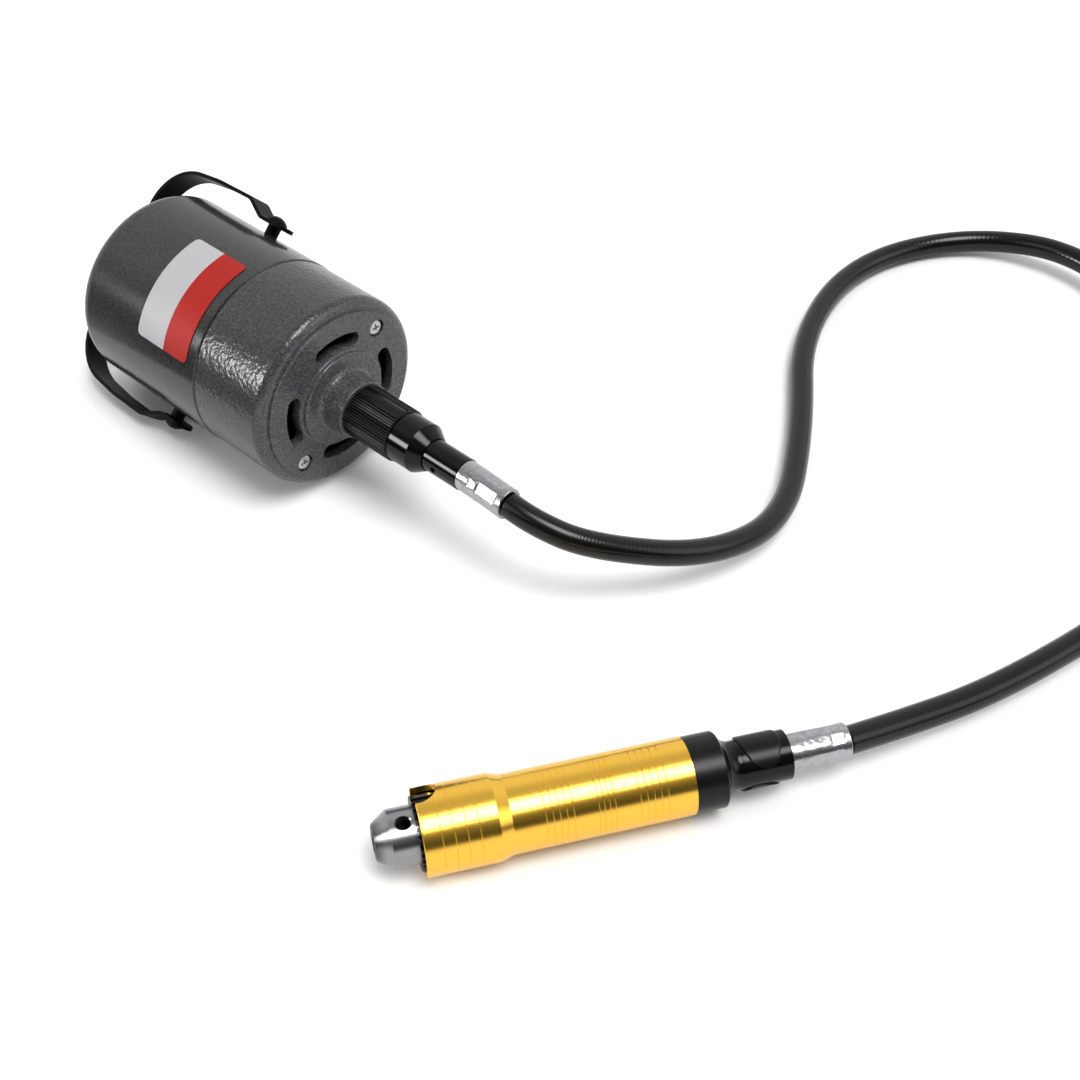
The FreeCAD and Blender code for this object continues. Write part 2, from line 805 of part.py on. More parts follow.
def make_armature_windings():
    body = motor_body("armature_windings")
    outer = SLOT_ROOF + " - press_gap"
    inner = SLOT_ROOF + " - winding_depth"
    turned(body, block(STACK_BACK + " - winding_overhang", STACK_BACK + " - press_gap", inner, outer))
    turned(body, block(STACK_FRONT + " + press_gap", STACK_FRONT + " + winding_overhang", inner, outer))
    bar_section = block(STACK_BACK + " - weld", STACK_FRONT + " + weld", SLOT_FLOOR + " + press_gap", outer)
    bar = turned(body, bar_section, "0", "slot_sweep - slot_play_sweep")
    around(body, [bar], "slot_count")


def make_commutator():
    body = motor_body("commutator")
    back = COMMUTATOR_BACK
    front = back + " + commutator_length"
    turned(body, [
        (back, "shaft_radius + press_gap"),
        (front + " + riser_width", "shaft_radius + press_gap"),
        (front + " + riser_width", "commutator_radius + riser_height"),
        (front, "commutator_radius + riser_height"),
        (front, "commutator_radius"),
        (back, "commutator_radius"),
    ])
    slit_floor = "commutator_radius - slit_depth"
    slit_section = block(behind(back), front, slit_floor, "commutator_radius + overshoot")
    slit = turned(body, slit_section, "0", "slit_sweep", cut=True)
    around(body, [slit], "commutator_slits")


def make_cooling_fan():
    body = motor_body("cooling_fan")
    turned(body, block("fan_back", "fan_back + fan_plate + blade_height", "shaft_radius + press_gap",
                       "fan_hub_radius"))
    turned(body, block("fan_back", "fan_back + fan_plate", "fan_hub_radius - weld", FAN_RADIUS))
    blade = turned(body, block("fan_back + fan_plate - weld", "fan_back + fan_plate + blade_height",
                               "fan_hub_radius - weld", FAN_RADIUS), "0", "blade_sweep")
    around(body, [blade], "blade_count")


def make_bearing(body, back, bore):
    """A shielded ball bearing as one ring, with the shields set back on both faces."""
    front = back + " + bearing_width"
    turned(body, [
        (back, bore),
        (back, "shield_inner + " + bore + " - journal_radius"),
        (back + " + shield_depth", "shield_inner + " + bore + " - journal_radius"),
        (back + " + shield_depth", "shield_outer"),
        (back, "shield_outer"),
        (back, "bearing_radius"),
        (front, "bearing_radius"),
        (front, "shield_outer"),
        (front + " - shield_depth", "shield_outer"),
        (front + " - shield_depth", "shield_inner + " + bore + " - journal_radius"),
        (front, "shield_inner + " + bore + " - journal_radius"),
        (front, bore),
    ])


def make_brush_plate():
    body = motor_body("brush_plate")
    back = PLATE_BACK
    front = back + " + plate_width"
    turned(body, block(back, front, "plate_inner", "motor_radius - cover_wall - plate_gap"))
    hole_edge = SCREW_CIRCLE + " + post_radius + press_gap"
    section = block(behind(back), ahead_of(front), SCREW_CIRCLE, hole_edge)
    hole = turned(body, section, "screw_turn", cut=True, axis_at=SCREW_CIRCLE)
    around(body, [hole], "2")


def both_poles(shape):
    """A piece of the brush gear, drawn straight up, and its opposite."""
    turn = size("pole_turn")
    return Part.makeCompound([turn_about_x(shape, turn), turn_about_x(shape, turn + 180)])


def make_brush_gear():
    """Holders, brushes and springs, each an opposite pair square to the screws."""
    back = total(PLATE_BACK + " + plate_width + press_gap")
    length = size("holder_length")
    half = size("holder_half")
    wall = size("holder_wall")
    low = size("holder_inner")
    high = total("motor_radius - cover_wall - holder_gap")
    outside = Part.makeBox(length, 2 * half, high - low, Vector(back, -half, low))
    inside_half = half - wall
    corner = Vector(back + wall, -inside_half, low - wall)
    inside = Part.makeBox(length - 2 * wall, 2 * inside_half, high - low, corner)
    shaped("brush_holders", both_poles(outside.cut(inside)), "motor")

    slide = size("brush_slide")
    tip = size("commutator_radius") + size("side_gap")
    brush_half = inside_half - slide
    brush_length = length - 2 * wall - 2 * slide
    brush = Part.makeBox(brush_length, 2 * brush_half, size("brush_outer") - tip,
                         Vector(back + wall + slide, -brush_half, tip))
    shaped("carbon_brushes", both_poles(brush), "motor")

    foot = size("brush_outer") + slide
    top = high - wall - slide
    centre = Vector(back + length / 2, 0, foot)
    coil = Part.makeCylinder(brush_half, top - foot, centre)
    hollow = Part.makeCylinder(brush_half - size("spring_wall"), top - foot, centre)
    shaped("brush_springs", both_poles(coil.cut(hollow)), "motor")


# Bail and its pivots
def make_bail():
    """A flat strap: two bent ends on the pivots, joined round the back of the motor."""
    thickness = size("strap_thickness")
    width = size("strap_width")
    pivot = -total(PIVOT_AT)
    low = total(SPACER_TOP + " + strap_play") + thickness / 2
    high = low + size("bail_rise")
    half = [
        Vector(size("bail_end") - pivot, 0, low),
        Vector(-size("bail_knee_start") - pivot, 0, low),
        Vector(-size("bail_knee_end") - pivot, 0, high),
        Vector(-size("bail_bow_at") - pivot, 0, high - size("bail_bow")),
        Vector(-size("bail_reach") - pivot, 0, low + size("bail_back_rise")),
    ]
    other = [Vector(point.x, 0, -point.z) for point in reversed(half)]
    knee = size("bail_knee_radius")
    corner = size("bail_corner_radius")
    bow = size("bail_bow_radius")
    radii = [knee, knee, bow, corner, corner, bow, knee, knee]
    centre = wire_of(rounded_segments(half + other, radii))
    face = centre.makeOffset2D(thickness / 2, 0, False, True)
    back_face = centre.makeOffset2D(-thickness / 2, 0, False, True)
    ends = [Part.LineSegment(a, b).toShape() for a, b in zip(wire_ends(face), wire_ends(back_face))]
    band = Part.Face(Part.Wire(Part.__sortEdges__(face.Edges + back_face.Edges + ends)))
    strap = band.extrude(Vector(0, width, 0))
    strap.translate(Vector(0, -width / 2, 0))
    strap = strap.cut(strap_end_cutter(width, low + thickness))
    hole_radius = size("pivot_radius") + size("running_gap")
    hole = Part.makeCylinder(hole_radius, 4 * low, Vector(-pivot, 0, -2 * low))
    shaped("hanging_bail", turn_about_x(strap.cut(hole), size("pivot_turn")), "motor")


def wire_ends(wire):
    """The two free ends of an open wire, the upper first."""
    ends = [vertex.Point for vertex in (wire.OrderedVertexes[0], wire.OrderedVertexes[-1])]
    return sorted(ends, key=lambda point: -point.z)


def strap_end_cutter(width, height):
    """What is left of a square end outside its half round."""
    end = total("bail_end + " + PIVOT_AT)
    radius = width / 2
    margin = size("overshoot")
    square = Part.makeBox(radius + margin, width + 2 * margin, 2 * height,
                          Vector(end - radius, -radius - margin, -height))
    disc = Part.makeCylinder(radius, 2 * height, Vector(end - radius, 0, -height))
    return square.cut(disc)


def make_pivots():
    """Spacers and domed screws that carry the bail, on opposite sides of the shell."""
    pivot = Vector(total(PIVOT_AT), 0, 0)
    shell = size("motor_radius")
    top = total(SPACER_TOP)
    bore = size("pivot_radius") + size("press_gap")
    sunk = size("overshoot")
    tube = Part.makeCylinder(size("spacer_radius"), top - shell + sunk, pivot + Vector(0, 0, shell - sunk))
    tube = tube.cut(Part.makeCylinder(bore, top, pivot + Vector(0, 0, shell - 2 * sunk)))
    casing = cylinder_x(-size("shell_length"), 0, shell + size("press_gap"))
    shaped("bail_spacers", pivot_pair(tube.cut(casing)), "motor")

    seat = top + size("strap_thickness") + 2 * size("strap_play")
    head_height = size("head_height")
    head_radius = size("head_radius")
    dome_radius = (head_radius ** 2 + head_height ** 2) / (2 * head_height)
    dome = Part.makeSphere(dome_radius, pivot + Vector(0, 0, seat + head_height - dome_radius))
    above = Part.makeCylinder(head_radius, head_height, pivot + Vector(0, 0, seat))
    shank_foot = shell - size("shell_wall") + size("press_gap")
    shank_length = seat - shank_foot + size("weld")
    shank = Part.makeCylinder(size("pivot_radius"), shank_length, pivot + Vector(0, 0, shank_foot))
    shaped("bail_screws", pivot_pair(dome.common(above).fuse(shank).removeSplitter()), "motor")


def pivot_pair(shape):
    turn = size("pivot_turn")
    return Part.makeCompound([turn_about_x(shape, turn), turn_about_x(shape, turn + 180)])


# Spigot, coupling nut, adaptor and drive line at the motor end
def make_shaft_spigot():
    body = motor_body("shaft_spigot")
    front = HUB_TIP + " + spigot_reach"
    turned(body, block(HUB_TIP + " - spigot_root", front, "spigot_bore", "spigot_radius"))
    soften(body, "Chamfer", "seam_bevel", [(total(front), size("spigot_radius"))])


def make_hub_set_screw():
    radius = size("set_screw_radius")
    foot = size("spigot_radius") + size("press_gap")
    length = size("hub_tip_radius") - foot
    base = Vector(total(HUB_TIP + " - set_screw_inset"), 0, foot)
    screw = Part.makeCylinder(radius, length, base)
    slot_width = size("screw_slot_width")
    slot_depth = size("screw_slot_depth")
    slot = Part.makeBox(2 * radius, slot_width, 2 * slot_depth, base + Vector(-radius, -slot_width / 2,
                                                                             length - slot_depth))
    shaped("hub_set_screw", turn_about_x(screw.cut(slot), size("set_screw_turn")), "motor")


def fluted_bar(x_low, x_high, radius, depth, count):
    """A round bar along X with straight V flutes all round."""
    points = []
    for i in range(2 * count + 1):
        angle = math.pi * i / count
        reach = radius if i % 2 == 0 else radius - depth
        points.append(Vector(x_low, reach * math.cos(angle), reach * math.sin(angle)))
    return Part.Face(Part.makePolygon(points)).extrude(Vector(x_high - x_low, 0, 0))


def cylinder_x(x_low, x_high, radius):
    return Part.makeCylinder(radius, x_high - x_low, Vector(x_low, 0, 0), Vector(1, 0, 0))


def cone_x(x_low, x_high, low_radius, high_radius):
    return Part.makeCone(low_radius, high_radius, x_high - x_low, Vector(x_low, 0, 0), Vector(1, 0, 0))


def make_coupling_nut():
    back = total(NUT_BACK)
    front = total(NUT_FRONT)
    radius = size("nut_radius")
    bevel = size("seam_bevel")
    margin = size("overshoot")
    nut = fluted_bar(back, front, radius, size("flute_depth"), int(size("nut_flutes")))
    rounding = cone_x(front - bevel, front, radius, radius - bevel)
    keep = cylinder_x(back, front - bevel, radius + margin).fuse(rounding)
    bore = cylinder_x(back - margin, front - size("nut_lip"), size("spigot_radius") + size("nut_thread_gap"))
    throat = cylinder_x(back, front + margin, size("neck_radius") + size("running_gap"))
    shaped("coupling_nut", nut.common(keep).cut(bore).cut(throat), "motor")


def make_sheath_adaptor():
    body = motor_body("sheath_adaptor")
    flange_front = NUT_FRONT + " - nut_lip - side_gap"
    band_back = NUT_FRONT + " + side_gap"
    turned(body, [
        (flange_front + " - flange_width", "core_bore"),
        (flange_front + " - flange_width", "spigot_radius"),
        (flange_front, "spigot_radius"),
        (flange_front, "neck_radius"),
        (band_back, "neck_radius"),
        (band_back, "band_radius"),
        (BAND_FRONT, "band_radius"),
        (CONE_FRONT, "cone_radius"),
        (CONE_FRONT, "core_bore"),
    ])
    soften(body, "Chamfer", "seam_bevel", [(total(band_back), size("band_radius"))])


def make_sheath_sleeve():
    body = motor_body("sheath_sleeve")
    turned(body, block(CONE_FRONT, SLEEVE_FRONT, "core_bore", "sleeve_radius"))
    radial_hole(body, CONE_FRONT + " + sleeve_hole_at", size("sleeve_hole_turn"), "sleeve_hole_radius",
                size("core_bore") + size("weld"), size("sleeve_radius") + size("overshoot"))


def ferrule(body, back, front, radius):
    """A crimped ferrule: a tube pressed in at two places, on several sides.

    Each dent is a scoop turned about a line of its own, deepest over its middle third.
    """
    turned(body, block(back, front, "core_bore", radius))
    line = radius + " + crimp_scoop - crimp_depth"
    for middle in (back + " + crimp_inset", front + " - crimp_inset"):
        dent = turned(body, [
            (middle + " - crimp_length / 2", line),
            (middle + " - crimp_length / 2", radius),
            (middle + " - crimp_length / 6", radius + " - crimp_depth"),
            (middle + " + crimp_length / 6", radius + " - crimp_depth"),
            (middle + " + crimp_length / 2", radius),
            (middle + " + crimp_length / 2", line),
        ], "0", cut=True, axis_at=line)
        around(body, [dent], "crimp_count")


def make_drive_socket():
    back = total(FRONT_SEAT + " + bearing_width + side_gap")
    shaft_end = total(SHAFT_FRONT)
    front = shaft_end + size("socket_grip")
    half = size("square_half") + size("square_gap")
    socket = cylinder_x(back, front, size("socket_radius"))
    socket = socket.cut(cylinder_x(back - size("overshoot"), shaft_end + size("press_gap"),
                                   total("journal_radius + press_gap")))
    square = Part.makeBox(front, 2 * half, 2 * half, Vector(shaft_end, -half, -half))
    shaped("drive_socket", socket.cut(square), "motor")


def drive_tip(back, front):
    """An end of the flexible core: a round rod with a square end at its back."""
    half = size("square_half")
    length = size("tip_square_length")
    square = Part.makeBox(length, 2 * half, 2 * half, Vector(back, -half, -half))
    rod = cylinder_x(back + length - size("weld"), front, size("core_radius"))
    return square.fuse(rod).removeSplitter()


def make_motor_drive_tip():
    back = total(SHAFT_FRONT + " + side_gap")
    shaped("motor_drive_tip", drive_tip(back, total(MOTOR_FERRULE_FRONT + " - tip_inset")), "motor")


# Chuck
def chuck_body_outline():
    return [
        ("nose_at", "nose_bore"),
        ("nose_at", "nose_radius"),
        ("nose_cone_end", "chuck_radius"),
        ("groove_front", "chuck_radius"),
        ("groove_front", "groove_floor"),
        ("groove_back", "groove_floor"),
        ("groove_back", "chuck_radius"),
        ("chuck_back", "chuck_radius"),
        ("chuck_back", "chuck_hub_radius"),
        ("chuck_hub_back", "chuck_hub_radius"),
        ("chuck_hub_back", "spindle_radius + press_gap"),
        ("spindle_front - side_gap", "spindle_radius + press_gap"),
        ("spindle_front - side_gap", "shank_bore"),
        ("nose_at + nose_depth", "shank_bore"),
        ("nose_at + nose_depth", "nose_bore"),
    ]


def jaw_slope():
    """The direction in which the jaw that points up slides open."""
    tilt = math.radians(size("jaw_tilt"))
    return Vector(math.cos(tilt), 0, math.sin(tilt))


def jaw_rod(x_low, x_high, radius):
    """A round bar along the sloped path of the jaw that points up."""
    slope = jaw_slope()
    start = Vector(size("nose_at"), 0, size("jaw_start_radius"))
    first = (x_low - start.x) / slope.x
    last = (x_high - start.x) / slope.x
    return Part.makeCylinder(radius, last - first, start + slope * first, slope)


def jaw_turns():
    """The angles of the jaws: each lies midway between two key holes."""
    count = int(size("jaw_count"))
    return [size("key_hole_turn") + 180 / count + 360 * i / count for i in range(count)]


def make_chuck_body():
    body = hand_body("chuck_body_form")
    pieces.remove(body)
    turned(body, chuck_body_outline())
    soften(body, "Chamfer", "key_hole_bevel", [(size("nose_at"), size("nose_radius"))])
    document.recompute()
    form = body.Shape.copy()
    form.Placement = Placement()
    bore = jaw_rod(size("nose_at") - size("jaw_excess"), size("mouth_depth") + size("jaw_excess"),
                   total("jaw_radius + jaw_bore_gap"))
    for turn in jaw_turns():
        form = form.cut(turn_about_x(bore, turn))
    radius = size("key_hole_radius")
    bevel = size("key_hole_bevel")
    top = size("chuck_radius")
    at = Vector(size("key_hole_at"), 0, size("key_hole_floor"))
    hole = Part.makeCylinder(radius, top, at)
    rim = Part.makeCone(radius, radius + 2 * bevel, 2 * bevel, Vector(at.x, 0, top - bevel))
    for i in range(int(size("jaw_count"))):
        turn = size("key_hole_turn") + 360 * i / size("jaw_count")
        form = form.cut(turn_about_x(hole.fuse(rim), turn))
    shaped("chuck_body", form, "hand")


def make_jaws():
    """Three jaws: sloped rods with flat flanks and a hollow grip along the axis."""
    tip = size("jaw_tip")
    rear = tip + size("jaw_length")
    rod = jaw_rod(tip - size("jaw_excess"), rear + size("jaw_excess"), size("jaw_radius"))
    reach = size("mouth_radius")
    slab = Part.makeBox(rear - tip, 2 * reach, 2 * reach, Vector(tip, -reach, -reach))
    ridge = size("jaw_ridge")
    side = reach * math.tan(math.pi / size("jaw_count"))
    apex = Vector(tip, 0, ridge)
    wedge_corners = [apex, Vector(tip, side, ridge + reach), Vector(tip, -side, ridge + reach), apex]
    wedge = Part.Face(Part.makePolygon(wedge_corners)).extrude(Vector(rear - tip, 0, 0))
    grip = cylinder_x(tip - size("overshoot"), rear + size("overshoot"), size("jaw_opening"))
    jaw = rod.common(slab).common(wedge).cut(grip)
    for number, turn in enumerate(jaw_turns(), 1):
        shaped("jaw_%d" % number, turn_about_x(jaw, turn), "hand")


def jaw_reach(station):
    """How far out a jaw's back stands at a station."""
    slope = jaw_slope()
    rise = (station - size("nose_at")) * slope.z / slope.x
    return size("jaw_start_radius") + rise + size("jaw_radius") / slope.x


def make_split_nut():
    """Two half rings in the groove of the chuck body, held together by the ring."""
    front = size("groove_front") + size("ring_gap")
    back = size("groove_back") - size("ring_gap")
    gap = size("nut_ring_gap")
    whole = cylinder_x(front, back, size("split_nut_outer"))
    whole = whole.cut(cone_x(front, back, jaw_reach(front) + gap, jaw_reach(back) + gap))
    half_gap = size("split_gap") / 2
    reach = size("mouth_radius")
    cutter = Part.makeBox(2 * back, 2 * reach, 2 * half_gap, Vector(-front, -reach, -half_gap))
    shaped("split_nut", turn_about_x(whole.cut(cutter), size("key_hole_turn")), "hand")


def make_chuck_ring():
    body = hand_body("chuck_ring")
    tips = "ring_face - tooth_height"
    lip_back = "groove_front + ring_gap - press_gap"
    inner = "chuck_radius + ring_gap"
    turned(body, [
        (tips, inner),
        (tips, "ring_radius"),
        ("ring_back", "ring_radius"),
        ("ring_back", "split_nut_outer + press_gap"),
        (lip_back, "split_nut_outer + press_gap"),
        (lip_back, inner),
    ])
    gap_section = block(behind(tips), "ring_face", inner + " - overshoot", "ring_radius + overshoot")
    gap = turned(body, gap_section, "0", "180 / tooth_count", cut=True)
    around(body, [gap], "tooth_count")


# Grip sleeve and the rest of the handpiece
def make_grip_sleeve():
    body = hand_body("grip_sleeve")
    seat = "bearing_radius + press_gap"
    turned(body, [
        ("sleeve_mouth", "mouth_bore"),
        ("sleeve_mouth", "mouth_radius"),
        ("mouth_end", "mouth_radius"),
        ("taper_end", "grip_radius"),
        ("grip_end", "grip_radius"),
        ("grip_end", seat),
        ("mouth_depth", seat),
        ("mouth_depth", "mouth_bore"),
    ])
    soften(body, "Fillet", "mouth_edge", [(size("sleeve_mouth"), size("mouth_radius"))])
    engrave(body, "mouth_rings", "mouth_radius")
    for rings in ("front_rings", "middle_rings", "rear_rings"):
        engrave(body, rings, "grip_radius")
    radial_hole(body, "notch_at", size("notch_turn"), "notch_radius", size("grip_radius") / 2,
                size("mouth_radius") + size("overshoot"))


def engrave(body, rings, surface):
    """A group of fine V rings round the grip."""
    for number in range(int(size(rings + "_count"))):
        at = "%s_at + %d * %s_pitch" % (rings, number, rings)
        turned(body, [
            (at, surface + " - engraving_depth"),
            (at + " + engraving_width", surface + " + engraving_depth"),
            (at + " - engraving_width", surface + " + engraving_depth"),
        ], cut=True)


def make_handpiece_spindle():
    half = size("square_half") + size("square_gap")
    front = size("spindle_front")
    back = size("spindle_back")
    spindle = cylinder_x(front, back, size("spindle_radius"))
    depth = size("tip_square_length") + size("side_gap")
    square = Part.makeBox(2 * depth, 2 * half, 2 * half, Vector(back - depth, -half, -half))
    shaped("handpiece_spindle", spindle.cut(square), "hand")


def make_handpiece_drive_tip():
    """The core's square end, standing a little out of the spindle's square hole."""
    front = total("spindle_back - tip_square_length + tip_inset")
    shaped("handpiece_drive_tip", drive_tip(front, total("hand_ferrule_end - tip_inset")), "hand")


def make_tail_ring():
    body = hand_body("tail_ring")
    turned(body, block("grip_end", "tail_ring_back", "bearing_radius + press_gap", "tail_ring_radius"))
    soften(body, "Chamfer", "seam_bevel", [(size("tail_ring_back"), size("tail_ring_radius"))])


def make_tail_socket():
    """Plug in the ring, concave flare and round socket for the sheath's ferrule."""
    front = size("tail_plug_front")
    ring_back = size("tail_ring_back")
    flare = size("flare_radius")
    tail = size("tail_radius")
    flare_end = size("flare_end")
    end = size("tail_end")
    plug = size("bearing_radius")
    bore = size("core_bore")
    flange = ring_back + size("press_gap")
    points = [Vector(front, 0, plug), Vector(flange, 0, plug), Vector(flange, 0, flare)]
    hollow = size("flare_hollow")
    middle = Vector((flange + flare_end) / 2 - hollow, 0, (flare + tail - hollow) / 2)
    edges = [Part.LineSegment(a, b).toShape() for a, b in zip(points, points[1:])]
    edges.append(Part.Arc(points[-1], middle, Vector(flare_end, 0, tail)).toShape())
    hollow_end = size("spindle_back") + size("side_gap")
    plug_bore = size("spindle_radius") + size("overshoot")
    rest = [
        Vector(flare_end, 0, tail), Vector(end, 0, tail), Vector(end, 0, bore), Vector(hollow_end, 0, bore),
        Vector(hollow_end, 0, plug_bore), Vector(front, 0, plug_bore), points[0],
    ]
    edges += [Part.LineSegment(a, b).toShape() for a, b in zip(rest, rest[1:])]
    face = Part.Face(Part.Wire(edges))
    shaped("tail_socket", face.revolve(Vector(), Vector(1, 0, 0), 360), "hand")


def make_lock_leaves():
    """Two thin saddles round the tail socket, above and below."""
    body = hand_body("lock_leaves")
    leaf = turned(body, block("leaf_front", "leaf_back", "tail_radius + press_gap",
                              "tail_radius + press_gap + leaf_wall"), "0", "leaf_sweep")
    around(body, [leaf], "2")


# Flexible sheath
def make_flex_sheath():
    """One tube from ferrule to ferrule: straight runs joined by tangent arcs."""
    start = Vector(total("motor_x + " + MOTOR_FERRULE_FRONT), size("motor_y"), size("motor_radius"))
    yaw = math.radians(size("hand_yaw"))
    along = Vector(math.cos(yaw), math.sin(yaw), 0)
    end = Vector(size("hand_x"), size("hand_y"), size("mouth_radius")) + along * size("hand_ferrule_end")
    points = [start, start + Vector(size("sheath_lead_motor"), 0, 0)]
    points += [Vector(*point) for point in CORD_POINTS]
    points += [end + along * size("sheath_lead_hand"), end]
    radii = []
    for before, corner, after in zip(points, points[1:], points[2:]):
        shorter = min((before - corner).Length, (after - corner).Length)
        turn = math.pi - (before - corner).getAngle(after - corner)
        radii.append(CORD_ARC_SHARE * shorter / math.tan(turn / 2))
    path = wire_of(rounded_segments(points, radii))
    section = Part.Wire(Part.Circle(start, Vector(1, 0, 0), size("sheath_radius")).toShape())
    tube = path.makePipeShell([section], True, True)
    piece = document.addObject("Part::Feature", "flex_sheath")
    piece.Shape = tube
    pieces.append(piece)
    runs = [(b - a).Length for a, b in zip(points, points[1:])]
    print("sheath runs", " ".join("%.0f" % run for run in runs))
    print("sheath radii", " ".join("%.0f" % radius for radius in radii))
    section_area = math.pi * size("sheath_radius") ** 2
    print("sheath length %.1f, volume over section %.1f" % (path.Length, tube.Volume / section_area))


make_front_end_bell()
make_motor_shell()
make_rear_cover()
make_cord_grommet()
make_label_plate()
make_bell_screws()
make_stator_core()
make_field_coils()
make_armature_shaft()
make_armature_core()
make_armature_windings()
make_commutator()
make_cooling_fan()
make_bearing(motor_body("front_bearing"), FRONT_SEAT, "journal_radius + running_gap")
make_bearing(motor_body("rear_bearing"), REAR_SEAT, "journal_radius + running_gap")
make_brush_plate()
make_brush_gear()
make_bail()
make_pivots()
make_shaft_spigot()
make_hub_set_screw()
make_coupling_nut()
make_sheath_adaptor()
make_sheath_sleeve()
ferrule(motor_body("motor_ferrule"), SLEEVE_FRONT, MOTOR_FERRULE_FRONT, "motor_ferrule_radius")
make_drive_socket()
make_motor_drive_tip()
make_chuck_body()
make_jaws()
make_split_nut()
make_chuck_ring()
make_grip_sleeve()
make_handpiece_spindle()
make_bearing(hand_body("front_spindle_bearing"), "hand_bearing_front", "spindle_radius + running_gap")
make_bearing(hand_body("rear_spindle_bearing"), "hand_bearing_rear", "spindle_radius + running_gap")
make_tail_ring()
make_tail_socket()
make_lock_leaves()
ferrule(hand_body("handpiece_ferrule"), "tail_end", "hand_ferrule_end", "hand_ferrule_radius")
make_handpiece_drive_tip()
make_flex_sheath()

document.recompute()
for item in document.Objects:
    if "Invalid" in item.State or "Error" in item.State:
        raise RuntimeError("%s failed: %s" % (item.Label, item.State))
for piece in pieces:
    if piece.Shape.isNull() or not piece.Shape.isValid():
        raise RuntimeError("%s has no valid shape" % piece.Label)
os.makedirs("parts", exist_ok=True)
for piece in pieces:
    piece.Shape.exportStep("parts/%s.step" % piece.Label)
print(len(pieces), "pieces")
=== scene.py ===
"""Rotary tool with a flexible shaft, on a white table: materials, the free sheath and the light."""
from math import cos, pi, radians, sin

import bmesh
import bpy
from mathutils import Matrix, Vector


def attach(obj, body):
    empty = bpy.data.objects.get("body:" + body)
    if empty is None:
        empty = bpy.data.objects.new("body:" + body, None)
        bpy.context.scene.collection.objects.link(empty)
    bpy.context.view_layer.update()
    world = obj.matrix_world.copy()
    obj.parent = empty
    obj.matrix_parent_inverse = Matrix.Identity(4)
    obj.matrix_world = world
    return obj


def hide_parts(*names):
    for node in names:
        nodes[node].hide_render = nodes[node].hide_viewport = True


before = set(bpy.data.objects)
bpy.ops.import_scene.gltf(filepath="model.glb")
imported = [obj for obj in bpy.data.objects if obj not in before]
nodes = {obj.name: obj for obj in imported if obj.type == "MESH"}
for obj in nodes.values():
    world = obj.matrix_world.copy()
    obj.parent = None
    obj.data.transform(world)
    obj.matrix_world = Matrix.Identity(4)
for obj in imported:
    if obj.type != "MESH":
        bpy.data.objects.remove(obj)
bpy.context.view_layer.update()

MM = 0.001
X_AXIS = Vector((1.0, 0.0, 0.0))
Y_AXIS = Vector((0.0, 1.0, 0.0))
Z_AXIS = Vector((0.0, 0.0, 1.0))

# The frame's places: the motor's axis runs along X, the handpiece's axis lies at a yaw on the table.
MOTOR = Vector((-86.0, 41.4, 38.5)) * MM
HAND = Vector((100.9, -64.5, 13.75)) * MM
HAND_YAW = radians(57.4)
HAND_ALONG = Vector((cos(HAND_YAW), sin(HAND_YAW), 0.0))
HAND_ACROSS = Vector((-sin(HAND_YAW), cos(HAND_YAW), 0.0))

# The camera that took the photograph: a square picture from a 53 mm lens on a 36 mm sensor.
CAMERA_AT = Vector((321.2, -251.1, 413.4)) * MM
CAMERA_AZIMUTH = radians(42.57)
CAMERA_DOWN = radians(44.0)
CAMERA_LENS = 53.33
SENSOR = 36.0

# The sheath's route from the motor's ferrule to the handpiece's, in mm.
SHEATH_POINTS = (
    (38.0, 41.4, 37.3), (48.0, 41.6, 35.6), (67.4, 51.0, 29.2), (92.3, 85.4, 16.3), (96.0, 128.0, 6.7),
    (69.1, 176.7, 4.8), (30.7, 229.1, 5.2), (18.0, 289.0, 4.8), (44.4, 339.5, 5.6), (95.7, 353.3, 12.5),
    (158.6, 323.7, 5.6), (202.1, 273.0, 4.8), (218.8, 211.2, 7.4), (209.4, 152.2, 9.1), (196.4, 103.6, 8.9),
    (181.7, 68.4, 11.0), (175.14, 51.59, 13.75),
)
SHEATH_RADIUS = 4.75
SHEATH_LENGTH = 762.0
RIB_PITCH = 2.1

# Cells of noise per metre: the paint's flakes and pebbles, the lathe's lines on steel and on gold, and the
# grain of drawn steel, of plain surfaces, of fine skins and of the ferrules.
FLAKES = 2600.0
PEBBLES = 620.0
STEEL_LINES = 9000.0
GOLD_LINES = 5000.0
STEEL_GRAIN = 2500.0
PLAIN_GRAIN = 900.0
FINE_GRAIN = 3000.0
FERRULE_GRAIN = 460.0
# The grain of drawn steel: its darkest share of the colour, and how much it spreads the roughness.
STEEL_DARK = 0.82
STEEL_SPREAD = 0.18

# The bell's face is painted lighter than its side, as painted light on the face: the motor's stations in mm
# where that starts and where it is full, and how much lighter it is.
FACE_LIGHT_FROM = 34.0
FACE_LIGHT_TO = 37.0
FACE_LIGHT_GAIN = 0.9

# Where the label's silver part ends and its red part starts, along the motor, and the two colours.
LABEL_SPLIT = -18.0
LABEL_SILVER = (0.42, 0.42, 0.43, 1.0)
LABEL_RED = (0.36, 0.012, 0.007, 1.0)

# Ridges round the coupling nut.
RIDGES = 64

# Painted shade in the chuck's bore: how dark it is painted, and the distances from its axis in mm where it is
# that dark and where it ends.
BORE_PAINTED_SHADE = 0.03
BORE_SHADE_EDGE = (5.0, 7.8)

# The two ferrules: first and last station on their own axis, and outer radius. The core runs in their bore.
MOTOR_FERRULE = (103.0, 124.0, 5.8)
HAND_FERRULE = (117.3, 137.8, 6.2)
CORE_BORE = 2.6
# How far the two ends of a ferrule are rounded in, in mm, and how many rings and sides its skin has.
FERRULE_EDGE = 0.25
FERRULE_RINGS = 72
FERRULE_SIDES = 120
